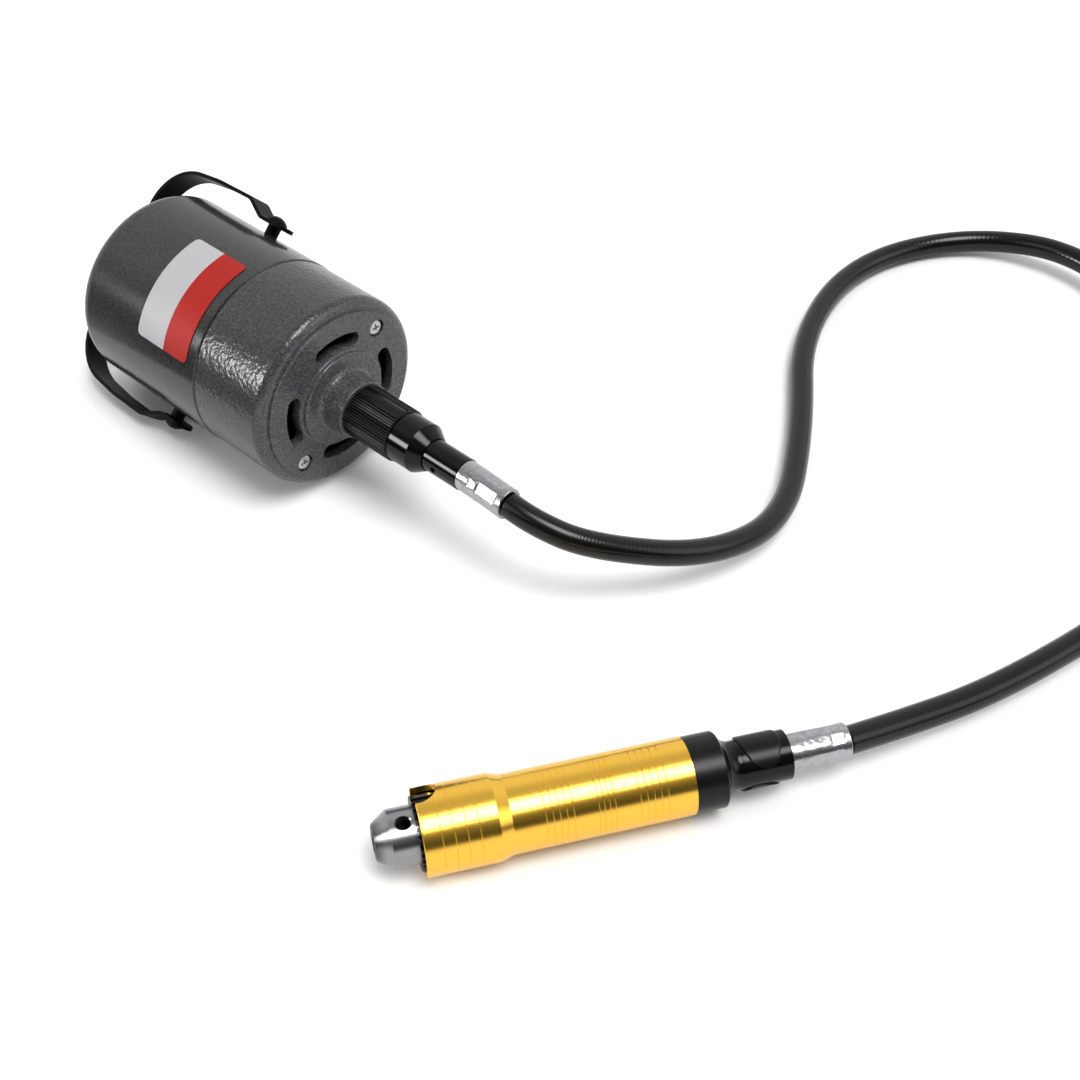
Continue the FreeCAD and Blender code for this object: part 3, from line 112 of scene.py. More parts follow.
# How far the motor's ferrule hangs down at its far end, with the sheath's weight, in mm. It bends most there,
# by this power of the share of its length.
FERRULE_DROOP = 1.2
DROOP_POWER = 1.5

# Flats that the crimping tool left: middle along the ferrule and half length, as shares of its length, angle
# from straight up in degrees, depth in mm, slope along the ferrule in mm.
MOTOR_CRIMPS = (
    (0.66, 0.25, -51.0, 0.42, 0.03), (0.33, 0.08, -58.0, 0.20, -0.16), (0.60, 0.28, 8.0, 0.22, 0.10),
    (0.62, 0.26, 68.0, 0.40, 0.10), (0.66, 0.28, 140.0, 0.40, 0.15), (0.62, 0.22, -112.0, 0.30, -0.12),
)
HAND_CRIMPS = (
    (0.42, 0.24, -17.0, 0.15, 0.06), (0.79, 0.13, -22.0, 0.30, -0.05), (0.62, 0.28, 62.0, 0.38, 0.12),
    (0.60, 0.30, -78.0, 0.25, 0.10), (0.66, 0.26, 150.0, 0.38, 0.10), (0.64, 0.27, -140.0, 0.35, -0.10),
)
# How softly a flat meets the round skin, in mm, how far round it can reach, in radians, and the share of its
# half length over which it fades out.
CRIMP_BLEND = 0.16
CRIMP_REACH = 1.2
CRIMP_FADE = 0.25

# One lock leaf, along the angle from straight up: station of its front edge and of its rear edge, in mm.
LEAF_EDGES = (
    (-56.5, 108.6, 109.6), (-55.5, 107.4, 110.6), (-53.0, 106.4, 111.6), (-48.0, 105.2, 112.3),
    (-40.0, 104.1, 112.8), (-30.0, 103.3, 113.3), (-16.0, 102.5, 114.2), (0.0, 101.9, 114.7),
    (16.0, 101.5, 114.8), (30.0, 101.3, 114.5), (44.0, 101.3, 114.0), (56.0, 101.6, 113.0),
    (64.0, 102.2, 111.8), (69.0, 103.4, 110.3), (71.5, 105.2, 108.0),
)
# Its inner and outer radius, and how far its edge is rounded in.
LEAF_RADII = (8.08, 8.65)
LEAF_EDGE = 0.22
# Its mesh: rows from one place of the outline to the next, and columns as shares of the width.
LEAF_ROWS = 6
LEAF_COLUMNS = (0.0, 0.02, 0.06, 0.15, 0.3, 0.45, 0.55, 0.7, 0.85, 0.94, 0.98, 1.0)

# The two casing screws: distance from the motor's axis, angle from straight up in degrees, then stations of
# the tip, of the head's seat and of its top, and radii of the shank, of the head and of its flat top.
SCREW_CIRCLE = 28.5
SCREW_TURN = 45.0
SCREW_STATIONS = (-55.0, 35.82, 37.52)
SCREW_RADII = (1.9, 3.2, 2.3)
SCREW_SIDES = 48
# The head's dome: how far below its top and how far in from its rim, in mm.
SCREW_DOME = ((0.85, 0.0), (0.45, 0.12), (0.15, 0.45))
# The cross recess: half length and half width of its arms, and depth, and how much smaller its floor is.
CROSS = (1.65, 0.38, 1.0)
CROSS_FLOOR = 0.7

# The white sheet on the table, in metres; its left edge lies just outside the picture. It lies this far below
# the tool, in mm. The camera sees it lighter than the tool does.
TABLE_CORNERS = ((2.47, -3.0), (3.0, -3.0), (3.0, 3.0), (-2.93, 3.0))
TABLE_DROP = 0.2
TABLE_WHITE = 0.80
TABLE_SHOWN = 0.94

# The studio's lamps: overhead, low on the left, on the right, and above the front left. Each has its azimuth
# from +X and its elevation, the angles from its middle where the full light ends and where the lamp ends, all
# in degrees, its strength, and how fast it falls off between.
LAMPS = (
    (-9.0, 70.0, 2.0, 24.0, 11.8, 2.0),
    (-124.0, 16.0, 4.0, 11.0, 20.0, 1.0),
    (28.0, 30.0, 4.0, 26.0, 1.8, 1.0),
    (-104.0, 38.0, 3.0, 20.0, 1.2, 1.0),
)
# The room around them has a dark wall in front and a pale one behind. The front begins between two cosines of
# the angle from the camera's side, and each wall's light changes between two sines of the elevation.
FRONT_EDGE = (-0.24, 0.08)
FRONT_RISE = (0.17, 0.85)
FRONT_LIGHT = (0.04, 0.20)
BACK_RISE = (0.64, 0.94)
BACK_LIGHT = (0.90, 0.55)
# A bright strip lies along the horizon, to the tool's front right: its light, its middle's azimuth, how far
# it reaches to the sides, as cosines, and the elevations between which it fades out.
HORIZON = 0.95
HORIZON_AZIMUTH = -28.0
HORIZON_SIDES = (-0.10, 0.35)
HORIZON_TOP = (3.0, 7.0)
# What the camera sees past the table.
SKY_SHOWN = 1.2
WHITE = (1.0, 1.0, 1.0, 1.0)

# Where the mix node keeps its two inputs and its output, for numbers and for colours.
MIX_SOCKETS = {"FLOAT": (2, 3, 0), "RGBA": (6, 7, 2)}


def add_camera():
    """The camera stands where the photograph was taken from."""
    right = Vector((cos(CAMERA_AZIMUTH), sin(CAMERA_AZIMUTH), 0.0))
    ahead = Vector((-sin(CAMERA_AZIMUTH) * cos(CAMERA_DOWN), cos(CAMERA_AZIMUTH) * cos(CAMERA_DOWN),
                    -sin(CAMERA_DOWN)))
    data = bpy.data.cameras.new("photo_camera")
    data.lens = CAMERA_LENS
    data.sensor_width = SENSOR
    data.clip_start = 0.01
    camera = bpy.data.objects.new("photo_camera", data)
    turn = Matrix((right, right.cross(ahead), -ahead)).transposed()
    camera.matrix_world = Matrix.Translation(CAMERA_AT) @ turn.to_4x4()
    bpy.context.scene.collection.objects.link(camera)
    bpy.context.scene.camera = camera


class NodeTree:
    """The nodes of a material or of the world, under construction."""

    def __init__(self, tree):
        self.tree = tree

    def feed(self, node, socket, value):
        """Sets one input socket, by name or number, to a value or to another node's output."""
        target = node.inputs[socket]
        if isinstance(value, bpy.types.NodeSocket):
            self.tree.links.new(value, target)
        else:
            target.default_value = value

    def add(self, kind, settings=None, **inputs):
        """A new node. Settings are its attributes; inputs are numbers, colours or other nodes' outputs."""
        node = self.tree.nodes.new(kind)
        for key, value in (settings or {}).items():
            setattr(node, key, value)
        for key, value in inputs.items():
            self.feed(node, key.replace("_", " "), value)
        return node

    def add_in_order(self, kind, settings, *values):
        """A new node whose first inputs get these values."""
        node = self.add(kind, settings)
        for number, value in enumerate(values):
            self.feed(node, number, value)
        return node

    def math(self, operation, *values):
        """One sum of numbers or outputs."""
        return self.add_in_order("ShaderNodeMath", {"operation": operation}, *values).outputs[0]

    def dot(self, vector, axis):
        """How far a vector goes along an axis."""
        node = self.add_in_order("ShaderNodeVectorMath", {"operation": "DOT_PRODUCT"}, vector, axis)
        return node.outputs["Value"]

    def step(self, value, start, end, low=0.0, high=1.0):
        """A soft step from low to high, where a value goes from start to end."""
        smooth = {"interpolation_type": "SMOOTHSTEP"}
        return self.add_in_order("ShaderNodeMapRange", smooth, value, start, end, low, high).outputs[0]

    def mix(self, kind, share, first, second, blend="MIX"):
        """A mix of two numbers or colours."""
        node = self.add_in_order("ShaderNodeMix", {"data_type": kind, "blend_type": blend}, share)
        first_socket, second_socket, result = MIX_SOCKETS[kind]
        self.feed(node, first_socket, first)
        self.feed(node, second_socket, second)
        return node.outputs[result]

    def shown_to_camera(self, unseen, seen):
        """A shader that the camera sees, mixed with the one that all other rays meet."""
        camera_ray = self.add("ShaderNodeLightPath").outputs["Is Camera Ray"]
        shaders = (unseen.outputs[0], seen.outputs[0])
        return self.add_in_order("ShaderNodeMixShader", None, camera_ray, *shaders).outputs[0]


class Shader(NodeTree):
    """A material under construction, round its surface shader."""

    def __init__(self, name):
        self.material = bpy.data.materials.new(name)
        self.material.use_nodes = True
        super().__init__(self.material.node_tree)
        self.surface = self.tree.nodes["Principled BSDF"]

    def set(self, **inputs):
        """Sets the surface shader's own inputs."""
        for key, value in inputs.items():
            self.feed(self.surface, key.replace("_", " "), value)

    def position(self):
        """The point in the part's frame, before any pose moves it."""
        return self.add("ShaderNodeTexCoord").outputs["Object"]

    def along(self, axis, origin):
        """How far a point lies along an axis from an origin, in metres."""
        subtract = {"operation": "SUBTRACT"}
        offset = self.add_in_order("ShaderNodeVectorMath", subtract, self.position(), origin)
        return self.dot(offset.outputs[0], axis)

    def noise(self, cells, detail=2.0, vector=None):
        """Noise of about that many cells per metre."""
        place = self.position() if vector is None else vector
        return self.add("ShaderNodeTexNoise", Scale=cells, Detail=detail, Vector=place).outputs[0]

    def turning_lines(self, cells):
        """The fine rings that a lathe leaves round the handpiece's axis."""
        station = self.add("ShaderNodeCombineXYZ", X=self.along(HAND_ALONG, HAND))
        return self.noise(cells, 3.0, station.outputs[0])

    def ramp(self, factor, *stops):
        """A colour ramp through (place, grey or colour) stops."""
        node = self.add_in_order("ShaderNodeValToRGB", None, factor)
        for element, (place, value) in zip(node.color_ramp.elements, stops):
            element.position = place
            element.color = (value, value, value, 1.0) if isinstance(value, float) else (*value, 1.0)
        return node.outputs["Color"]

    def ramp_over(self, distance, span, *stops):
        """A ramp over a distance in metres. Its span and the places of its stops are in mm."""
        share = self.math("MULTIPLY", distance, 1.0 / (span * MM))
        return self.ramp(share, *((place / span, value) for place, value in stops))

    def speckled(self, dark, light, cells):
        """Base colour that wanders between two colours."""
        return self.ramp(self.noise(cells, 3.0), (0.3, dark), (0.7, light))

    def bump(self, height, distance, strength):
        """A normal that follows a height, over a distance in metres."""
        node = self.add("ShaderNodeBump", Height=height, Distance=distance, Strength=strength)
        return node.outputs["Normal"]


def hammertone(name, tone, gloss, pebbling):
    """Dark-grey paint with fine flakes under a clear coat: its tone, the coat's roughness and its pebbles.
    Its base colour is painted lighter on the bell's face, as painted light.
    """
    s = Shader(name)
    flakes = s.add("ShaderNodeTexVoronoi", Scale=FLAKES, Vector=s.position())
    colour = s.ramp(flakes.outputs["Color"], (0.15, (0.013, 0.013, 0.014)), (0.9, (0.056, 0.056, 0.058)))
    # Painted light: the base colour grows lighter towards the bell's face.
    painted_face_light = s.ramp_over(s.along(X_AXIS, MOTOR), 100.0, (FACE_LIGHT_FROM, 0.0), (FACE_LIGHT_TO, 1.0))
    brightness = s.math("MULTIPLY_ADD", painted_face_light, FACE_LIGHT_GAIN, tone)
    shade = s.add("ShaderNodeVectorMath", {"operation": "SCALE"}, Vector=colour, Scale=brightness)
    skin = s.bump(s.noise(PEBBLES, 1.5), distance=0.0006, strength=pebbling)
    s.set(Base_Color=shade.outputs[0], Metallic=0.0, Roughness=0.6, Specular_IOR_Level=0.0)
    s.set(Coat_Weight=1.0, Coat_Roughness=gloss, Normal=skin, Coat_Normal=skin)
    return s.material


def black_finish(name, greys, cells, roughness, specular, grain, depth):
    """Black paint or anodising: its darkest and lightest grey, its shine, and its skin's grain."""
    s = Shader(name)
    s.set(Base_Color=s.speckled(*greys, cells), Metallic=0.0, Roughness=roughness)
    s.set(Specular_IOR_Level=specular, Normal=s.bump(s.noise(grain), distance=depth, strength=0.2))
    return s.material


def knurled_black():
    """Black anodised aluminium on the coupling nut, with fine ridges along the motor's axis, whose crests
    carry a painted highlight.
    """
    s = Shader("knurled_black")
    turn = s.math("ARCTAN2", s.along(Y_AXIS, MOTOR), s.along(Z_AXIS, MOTOR))
    ridges = s.math("SINE", s.math("MULTIPLY", turn, RIDGES))
    # Painted highlight: the crests are painted lighter than the grooves, as painted highlight and shade.
    ridge_highlight = s.ramp(s.math("MULTIPLY_ADD", ridges, 0.5, 0.5), (0.45, 0.0), (0.95, 0.026))
    s.set(Base_Color=ridge_highlight, Roughness=0.22, Specular_IOR_Level=0.16)
    s.set(Normal=s.bump(ridges, distance=0.0001, strength=1.0))
    return s.material


def steel(name, colour, roughness):
    """Drawn steel, whose grain changes its colour and its roughness a little."""
    s = Shader(name)
    dark = tuple(STEEL_DARK * part for part in colour)
    grain = s.noise(STEEL_GRAIN, 4.0)
    s.set(Base_Color=s.ramp(grain, (0.3, dark), (0.7, colour)), Metallic=1.0)
    s.set(Roughness=s.math("MULTIPLY_ADD", grain, STEEL_SPREAD, roughness - 0.5 * STEEL_SPREAD))
    s.set(Normal=s.bump(grain, distance=0.00004, strength=0.4))
    return s.material


def turned_steel():
    """Steel turned on a lathe, with fine rings round the handpiece's axis, and painted shade in its bore."""
    s = Shader("turned_steel")
    lines = s.turning_lines(STEEL_LINES)
    colour = s.ramp(lines, (0.25, (0.25, 0.25, 0.26)), (0.75, (0.39, 0.39, 0.40)))
    across = s.along(HAND_ACROSS, HAND)
    rise = s.along(Z_AXIS, HAND)
    distance = s.math("SQRT", s.math("MULTIPLY_ADD", across, across, s.math("MULTIPLY", rise, rise)))
    dark_to, light_from = BORE_SHADE_EDGE
    # Painted shade: the colour darkens towards the axis, inside the bore.
    bore = s.ramp_over(distance, 10.0, (dark_to, BORE_PAINTED_SHADE), (light_from, 1.0))
    grooves = s.add("ShaderNodeCombineXYZ", X=HAND_ALONG.x, Y=HAND_ALONG.y)
    s.set(Base_Color=s.mix("RGBA", 1.0, colour, bore, "MULTIPLY"), Metallic=1.0, Roughness=0.27)
    s.set(Anisotropic=0.6, Tangent=grooves.outputs[0])
    s.set(Normal=s.bump(lines, distance=0.00006, strength=0.5))
    return s.material


def gold_anodised():
    """Gold anodised aluminium, polished, with fine turning lines round the handpiece's axis."""
    s = Shader("gold_anodised")
    lines = s.turning_lines(GOLD_LINES)
    s.set(Base_Color=s.ramp(lines, (0.2, (0.97, 0.57, 0.075)), (0.8, (1.0, 0.61, 0.092))), Metallic=1.0)
    s.set(Roughness=0.21, Normal=s.bump(lines, distance=0.00003, strength=0.3))
    return s.material


def plain(name, dark, light, metallic, roughness):
    """A plain surface with a little grain in its colour and its skin."""
    s = Shader(name)
    s.set(Base_Color=s.speckled(dark, light, PLAIN_GRAIN), Metallic=metallic, Roughness=roughness)
    s.set(Normal=s.bump(s.noise(2.5 * PLAIN_GRAIN), distance=0.0001, strength=0.3))
    return s.material


def label_foil():
    """The bare label: silver foil towards the bail, red towards the front."""
    s = Shader("label_foil")
    is_red = s.math("GREATER_THAN", s.along(X_AXIS, MOTOR), LABEL_SPLIT * MM)
    s.set(Base_Color=s.mix("RGBA", is_red, LABEL_SILVER, LABEL_RED), Metallic=0.1, Roughness=0.5)
    s.set(Specular_IOR_Level=0.25, Normal=s.bump(s.noise(FINE_GRAIN), distance=0.00004, strength=0.3))
    return s.material


def ribbed_sheath():
    """Glossy black sheath with a fine spiral rib."""
    s = Shader("black_sheath")
    place = s.add("ShaderNodeSeparateXYZ", Vector=s.add("ShaderNodeTexCoord").outputs["UV"])
    turns = s.math("MULTIPLY_ADD", place.outputs["X"], SHEATH_LENGTH / RIB_PITCH, place.outputs["Y"])
    rib = s.math("SINE", s.math("MULTIPLY", turns, 2.0 * pi))
    s.set(Base_Color=s.speckled(0.002, 0.004, 800.0), Roughness=0.20, Specular_IOR_Level=0.36)
    s.set(Normal=s.bump(rib, distance=0.00005, strength=0.2))
    return s.material


def crimped_alloy():
    """Bright soft alloy, slightly uneven where the crimping tool slid."""
    s = Shader("crimped_alloy")
    s.set(Base_Color=s.speckled((0.38, 0.38, 0.39), (0.50, 0.50, 0.51), 500.0), Metallic=1.0, Roughness=0.24)
    s.set(Normal=s.bump(s.noise(FERRULE_GRAIN, 3.0), distance=0.0004, strength=0.36))
    return s.material


def paint_nodes():
    """Gives every CAD node its procedural material, and returns them by the nodes' names."""
    looks = (
        (hammertone("hammertone_paint", tone=1.1, gloss=0.21, pebbling=0.36), "front_end_bell"),
        (hammertone("smooth_grey_paint", tone=0.70, gloss=0.17, pebbling=0.04), "motor_shell rear_cover"),
        (label_foil(), "label_plate"),
        (black_finish("black_paint", greys=(0.001, 0.004), cells=900.0, roughness=0.42, specular=0.06,
                      grain=1500.0, depth=0.0002),
         "hanging_bail bail_screws bail_spacers"),
        (black_finish("black_anodised", greys=(0.001, 0.003), cells=700.0, roughness=0.10, specular=0.24,
                      grain=FINE_GRAIN, depth=0.00005),
         "sheath_adaptor sheath_sleeve tail_socket chuck_ring"),
        (black_finish("satin_black", greys=(0.002, 0.004), cells=700.0, roughness=0.29, specular=0.26,
                      grain=FINE_GRAIN, depth=0.00004),
         "lock_leaves tail_ring"),
        (knurled_black(), "coupling_nut"),
        (crimped_alloy(), "motor_ferrule handpiece_ferrule"),
        (gold_anodised(), "grip_sleeve"),
        (turned_steel(), "chuck_body"),
        (steel("bright_steel", (0.62, 0.62, 0.63), 0.28),
         "bell_screws hub_set_screw shaft_spigot front_bearing rear_bearing brush_springs armature_shaft "
         "drive_socket motor_drive_tip handpiece_drive_tip handpiece_spindle front_spindle_bearing "
         "rear_spindle_bearing"),
        (steel("hardened_steel", (0.16, 0.16, 0.17), 0.30), "split_nut jaw_1 jaw_2 jaw_3"),
        (plain("copper_wire", (0.30, 0.07, 0.02), (0.48, 0.14, 0.05), metallic=0.9, roughness=0.35),
         "field_coils armature_windings commutator"),
        (plain("lamination_steel", (0.20, 0.19, 0.18), (0.32, 0.31, 0.30), metallic=0.9, roughness=0.45),
         "stator_core armature_core"),
        (plain("brass", (0.55, 0.38, 0.12), (0.70, 0.50, 0.18), metallic=1.0, roughness=0.30),
         "brush_holders"),
        (plain("fibre_board", (0.16, 0.06, 0.02), (0.24, 0.10, 0.04), metallic=0.0, roughness=0.6),
         "brush_plate"),
        (plain("rubber", 0.010, 0.020, metallic=0.0, roughness=0.7), "cord_grommet"),
        (plain("carbon", 0.012, 0.030, metallic=0.0, roughness=0.8), "carbon_brushes"),
        (plain("fan_plastic", 0.010, 0.020, metallic=0.0, roughness=0.4), "cooling_fan"),
    )
    by_name = {name: material for material, names in looks for name in names.split()}
    for name, material in by_name.items():
        mesh = nodes[name].data
        mesh.materials.clear()
        mesh.materials.append(material)
    return by_name


def add_sheath():
    """The free sheath: one smooth curve through the route's points, from one ferrule to the other."""
    data = bpy.data.curves.new("sheath", "CURVE")
    data.dimensions = "3D"
    data.bevel_depth = SHEATH_RADIUS * MM
    data.bevel_resolution = 8
    data.resolution_u = 24
    data.use_fill_caps = True
    spline = data.splines.new("NURBS")
    spline.points.add(len(SHEATH_POINTS) - 1)
    for point, place in zip(spline.points, SHEATH_POINTS):
        point.co = (*(Vector(place) * MM), 1.0)
    spline.order_u = 3
    spline.use_endpoint_u = True
    sheath = bpy.data.objects.new("sheath", data)
    bpy.context.scene.collection.objects.link(sheath)
    data.materials.append(ribbed_sheath())
    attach(sheath, "housing")
    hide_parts("flex_sheath")


def motor_point(station, distance, turn):
    """A point of the motor: station along its axis, distance from it, and angle from straight up."""
    return MOTOR + Vector((station, distance * sin(turn), distance * cos(turn))) * MM


def hand_point(station, distance, turn):
    """A point of the handpiece, in the same terms."""
    sideways = HAND_ACROSS * (distance * sin(turn))
    return HAND + (HAND_ALONG * station + sideways + Z_AXIS * (distance * cos(turn))) * MM


def round_pairs(ring):
    """Each member of a closed ring with the next one."""
    return zip(ring, ring[1:] + ring[:1])


def finish_piece(name, mesh, node, body, material, smooth_angle):
    """A mesh that stands in for a CAD node, with its finish."""
    mesh.materials.append(material)
    piece = bpy.data.objects.new(name, mesh)
    bpy.context.scene.collection.objects.link(piece)
    for polygon in mesh.polygons:
        polygon.use_smooth = True
    mesh.set_sharp_from_angle(angle=radians(smooth_angle))
    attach(piece, body)
    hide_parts(node)
    return piece


def add_piece(name, points, faces, node, body, material, smooth_angle=30.0):
    """A finished mesh from points and faces."""
    mesh = bpy.data.meshes.new(name)
    mesh.from_pydata(points, [], faces)
    mesh.validate()
    return finish_piece(name, mesh, node, body, material, smooth_angle)


def crimped_radius(share, turn, radius, crimps):
    """How far out the ferrule's skin lies, at a share of its length and an angle in degrees."""
    reach = radius
    for middle, half, at, depth, slope in crimps:
        away = radians((turn - at + 180.0) % 360.0 - 180.0)
        along = (share - middle) / half
        if abs(along) < 1.0 and abs(away) < CRIMP_REACH:
            fade = min(1.0, (1.0 - abs(along)) / CRIMP_FADE)
            fade = fade * fade * (3.0 - 2.0 * fade)
            flat = (radius - depth * fade - slope * along * fade) / cos(away)
            # The smaller of the two, rounded off where they are nearly the same.
            overlap = max(0.0, 1.0 - abs(reach - flat) / CRIMP_BLEND)
            reach = min(reach, flat) - 0.25 * CRIMP_BLEND * overlap * overlap
    return min(reach, radius)


def add_ferrule(name, node, size, crimps, droop, place, material):
    """A crimped ferrule: a tube with irregular flats and rounded ends, which droops towards its far end."""
    first, last, radius = size
    turns = [360.0 * side / FERRULE_SIDES for side in range(FERRULE_SIDES)]
    points, faces = [], []

    def add_ring(share, reaches):
        """The points round a share of the length, each at its own distance from the axis."""
        station = first + (last - first) * share
        fall = Vector((0.0, 0.0, droop * share ** DROOP_POWER * MM))
        points.extend(place(station, reach, radians(turn)) - fall for turn, reach in zip(turns, reaches))

    for ring in range(FERRULE_RINGS + 1):
        share = ring / FERRULE_RINGS
        inset = FERRULE_EDGE if ring in (0, FERRULE_RINGS) else 0.0
        add_ring(share, [crimped_radius(share, turn, radius, crimps) - inset for turn in turns])
    last_ring = FERRULE_RINGS * FERRULE_SIDES
    bore = len(points)
    far_bore = bore + FERRULE_SIDES
    add_ring(0.0, [CORE_BORE] * FERRULE_SIDES)
    add_ring(1.0, [CORE_BORE] * FERRULE_SIDES)
    for side, after in round_pairs(list(range(FERRULE_SIDES))):
        for low in range(0, last_ring, FERRULE_SIDES):
            high = low + FERRULE_SIDES
            faces.append((low + side, low + after, high + after, high + side))
        faces.append((side, bore + side, bore + after, after))
        faces.append((last_ring + side, last_ring + after, far_bore + after, far_bore + side))
        faces.append((bore + side, far_bore + side, far_bore + after, bore + after))
    return add_piece(name, points, faces, node, "housing", material)


def leaf_rows():
    """The leaf's outline in fine steps: angle from straight up, front station and rear station."""
    rows = []
    for here, after in zip(LEAF_EDGES, LEAF_EDGES[1:]):
        for number in range(LEAF_ROWS):
            share = number / LEAF_ROWS
            rows.append([start + (end - start) * share for start, end in zip(here, after)])
    rows.append(LEAF_EDGES[-1])
    return rows


def add_lock_leaves(material):
    """The two curved leaves round the tail socket, each a thin tongue with a rounded edge."""
    inner, outer = LEAF_RADII
    rows = leaf_rows()
    last_row = len(rows) - 1
    width = len(LEAF_COLUMNS)
    count = width * len(rows)
    rim = list(range(width))
    rim += [row * width + width - 1 for row in range(1, len(rows))]
    rim += [last_row * width + column for column in range(width - 2, -1, -1)]
    rim += [row * width for row in range(last_row - 1, 0, -1)]
    points, faces = [], []
    for half_turn in (0.0, 180.0):
        start = len(points)
        for skin in (outer, inner):
            base = len(points)
            for number, (turn, front, back) in enumerate(rows):
                for column in LEAF_COLUMNS:
                    on_rim = number in (0, last_row) or column in (0.0, 1.0)
                    reach = outer - LEAF_EDGE if on_rim and skin == outer else skin
                    station = front + (back - front) * column
                    points.append(hand_point(station, reach, radians(turn + half_turn)))
            for row in range(last_row):
                for corner in range(base + row * width, base + row * width + width - 1):
                    faces.append((corner, corner + 1, corner + width + 1, corner + width))
        for here, after in round_pairs(rim):
            faces.append((start + here, start + after, start + count + after, start + count + here))
    add_piece("lock_leaf_pair", points, faces, "lock_leaves", "housing", material, 50.0)


def cross_outline(arm, half):
    """The twelve corners of a cross, three for each quarter turn."""
    corners = [(arm, -half), (arm, half), (half, half)]
    for _ in range(3):
        corners += [(-up, across) for across, up in corners[-3:]]
    return corners


def bridge(shape, low, high):
    """A band of faces between two closed rings of corners."""
    for (here, after), (above, above_after) in zip(round_pairs(low), round_pairs(high)):
        shape.faces.new((here, after, above_after, above))


def add_screw(shape, turn):
    """One long screw, at an angle from straight up: its turned skin, its cross recess and the top between."""
    tip, seat, top = SCREW_STATIONS
    shank, head, flat = SCREW_RADII
    arm, half, depth = CROSS
    axis = Vector((0.0, SCREW_CIRCLE * sin(turn), SCREW_CIRCLE * cos(turn)))

    def put(station, across, up):
        """A corner at a station, off the screw's own axis."""
        return shape.verts.new(MOTOR + (axis + Vector((station, across, up))) * MM)

    profile = [(tip, shank), (seat, shank), (seat, head)]
    profile += [(top - down, head - inward) for down, inward in SCREW_DOME]
    profile.append((top, flat))
    sides = [radians(360.0 * side / SCREW_SIDES) for side in range(SCREW_SIDES)]
    rings = []
    for station, radius in profile:
        rings.append([put(station, radius * cos(side), radius * sin(side)) for side in sides])
    for low, high in zip(rings, rings[1:]):
        bridge(shape, low, high)
    shape.faces.new(rings[0])
    outline = cross_outline(arm, half)
    mouth = [put(top, across, up) for across, up in outline]
    floor = [put(top - depth, CROSS_FLOOR * across, CROSS_FLOOR * up) for across, up in outline]
    bridge(shape, mouth, floor)
    inner_corners = floor[2::3]
    for number, (inner, next_inner) in enumerate(round_pairs(inner_corners[-1:] + inner_corners[:-1])):
        shape.faces.new((inner, floor[3 * number], floor[3 * number + 1], next_inner))
    shape.faces.new(inner_corners)
    rim = [shape.edges.get(pair) for ring in (rings[-1], mouth) for pair in round_pairs(ring)]
    bmesh.ops.triangle_fill(shape, edges=rim, use_beauty=True)


def add_casing_screws(material):
    """The two long screws: domed heads with a cross recess."""
    shape = bmesh.new()
    for half_turn in (0.0, 180.0):
        add_screw(shape, radians(SCREW_TURN + half_turn))
    bmesh.ops.recalc_face_normals(shape, faces=shape.faces)
    mesh = bpy.data.meshes.new("casing_screws")
    shape.to_mesh(mesh)
    shape.free()
    finish_piece("casing_screws", mesh, "bell_screws", "housing", material, 30.0)


def add_table():
    """A white table under the tool."""
    mesh = bpy.data.meshes.new("table_top")
    mesh.from_pydata([(*corner, 0.0) for corner in TABLE_CORNERS], [], [(0, 1, 2, 3)])
    table = bpy.data.objects.new("table_top", mesh)
    table.location.z = -TABLE_DROP * MM
    bpy.context.scene.collection.objects.link(table)
    s = Shader("white_table")
    unseen, seen = (s.add("ShaderNodeBsdfDiffuse", Color=(white, white, white, 1.0))
                    for white in (TABLE_WHITE, TABLE_SHOWN))
    s.feed(s.tree.nodes["Material Output"], "Surface", s.shown_to_camera(unseen, seen))
    s.tree.nodes.remove(s.surface)
    mesh.materials.append(s.material)


def direction(azimuth, elevation=0.0):
    """The way to an azimuth from +X and an elevation, in degrees."""
    turn, lift = radians(azimuth), radians(elevation)
    return Vector((cos(lift) * cos(turn), cos(lift) * sin(turn), sin(lift)))


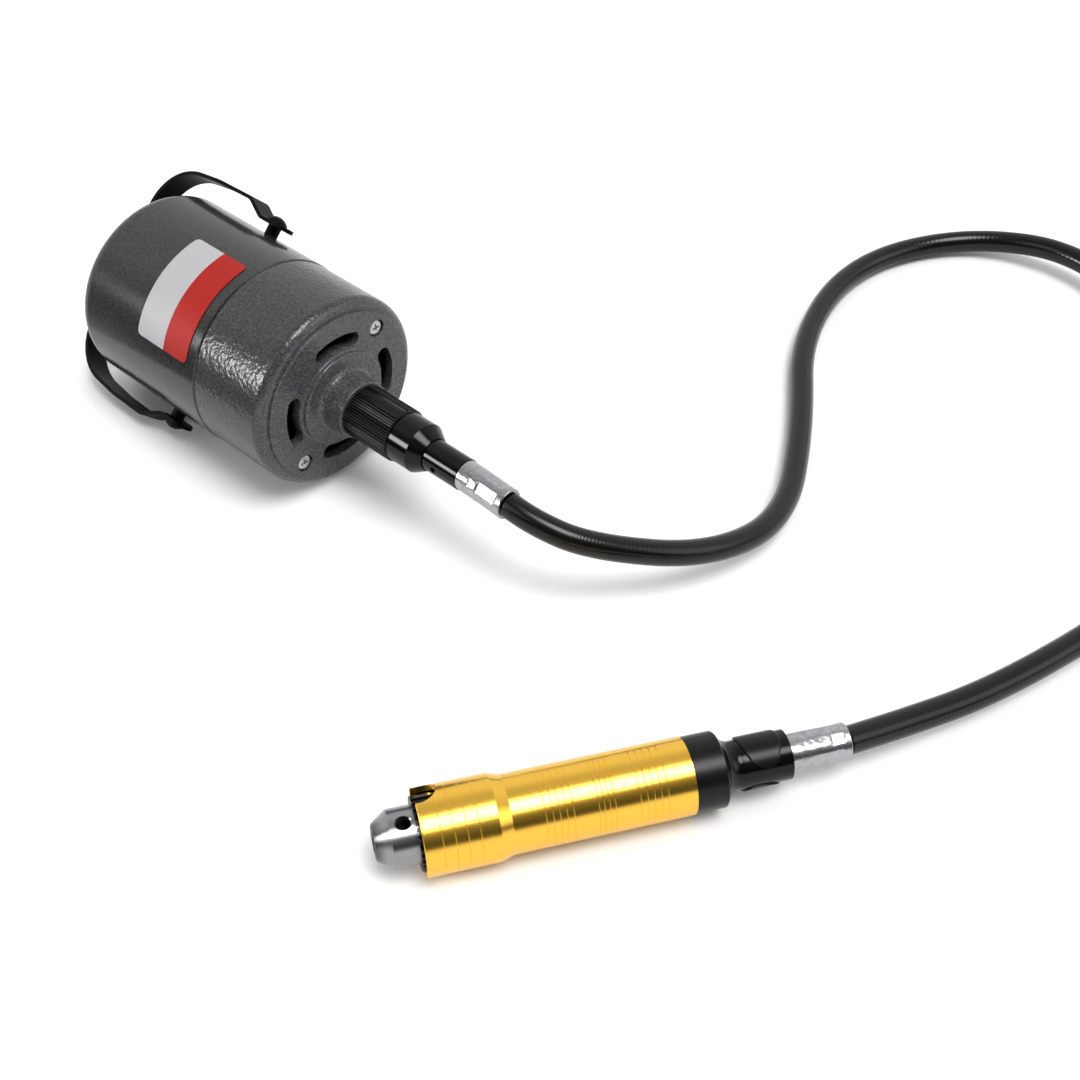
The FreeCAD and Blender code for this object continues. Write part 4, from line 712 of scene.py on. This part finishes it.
def add_world():
    """The studio: its lamps, in a room that is pale behind and dark in front, above a bright strip."""
    world = bpy.data.worlds.new("studio")
    bpy.context.scene.world = world
    world.use_nodes = True
    world.node_tree.nodes.clear()
    s = NodeTree(world.node_tree)
    way = s.add("ShaderNodeTexCoord").outputs["Generated"]
    rise = s.dot(way, Z_AXIS)
    lamps = 0.0
    for azimuth, elevation, core, reach, power, fall in LAMPS:
        to_lamp = s.dot(way, direction(azimuth, elevation))
        share = s.math("POWER", s.step(to_lamp, cos(radians(reach)), cos(radians(core))), fall)
        lamps = s.math("ADD", lamps, s.math("MULTIPLY", share, power))
    to_camera = Vector((sin(CAMERA_AZIMUTH), -cos(CAMERA_AZIMUTH), 0.0))
    is_front = s.step(s.dot(way, to_camera), *FRONT_EDGE)
    front = s.step(rise, *FRONT_RISE, *FRONT_LIGHT)
    back = s.step(rise, *BACK_RISE, *BACK_LIGHT)
    is_low = s.step(rise, *(sin(radians(elevation)) for elevation in HORIZON_TOP), 1.0, 0.0)
    is_near = s.step(s.dot(way, direction(HORIZON_AZIMUTH)), *HORIZON_SIDES)
    walls = s.mix("FLOAT", is_front, back, front)
    room = s.mix("FLOAT", s.math("MULTIPLY", is_low, is_near), walls, HORIZON)
    studio = s.add("ShaderNodeBackground", Color=WHITE, Strength=s.math("ADD", room, lamps))
    sky = s.add("ShaderNodeBackground", Color=WHITE, Strength=SKY_SHOWN)
    s.add("ShaderNodeOutputWorld", Surface=s.shown_to_camera(studio, sky))


add_camera()
materials = paint_nodes()
motor_ferrule = add_ferrule("motor_ferrule_detail", "motor_ferrule", MOTOR_FERRULE, MOTOR_CRIMPS,
                            FERRULE_DROOP, motor_point, materials["motor_ferrule"])
hand_ferrule = add_ferrule("handpiece_ferrule_detail", "handpiece_ferrule", HAND_FERRULE, HAND_CRIMPS,
                           0.0, hand_point, materials["handpiece_ferrule"])
add_sheath()
add_lock_leaves(materials["lock_leaves"])
add_casing_screws(materials["bell_screws"])
add_table()
add_world()
bpy.context.scene.view_settings.view_transform = "Standard"
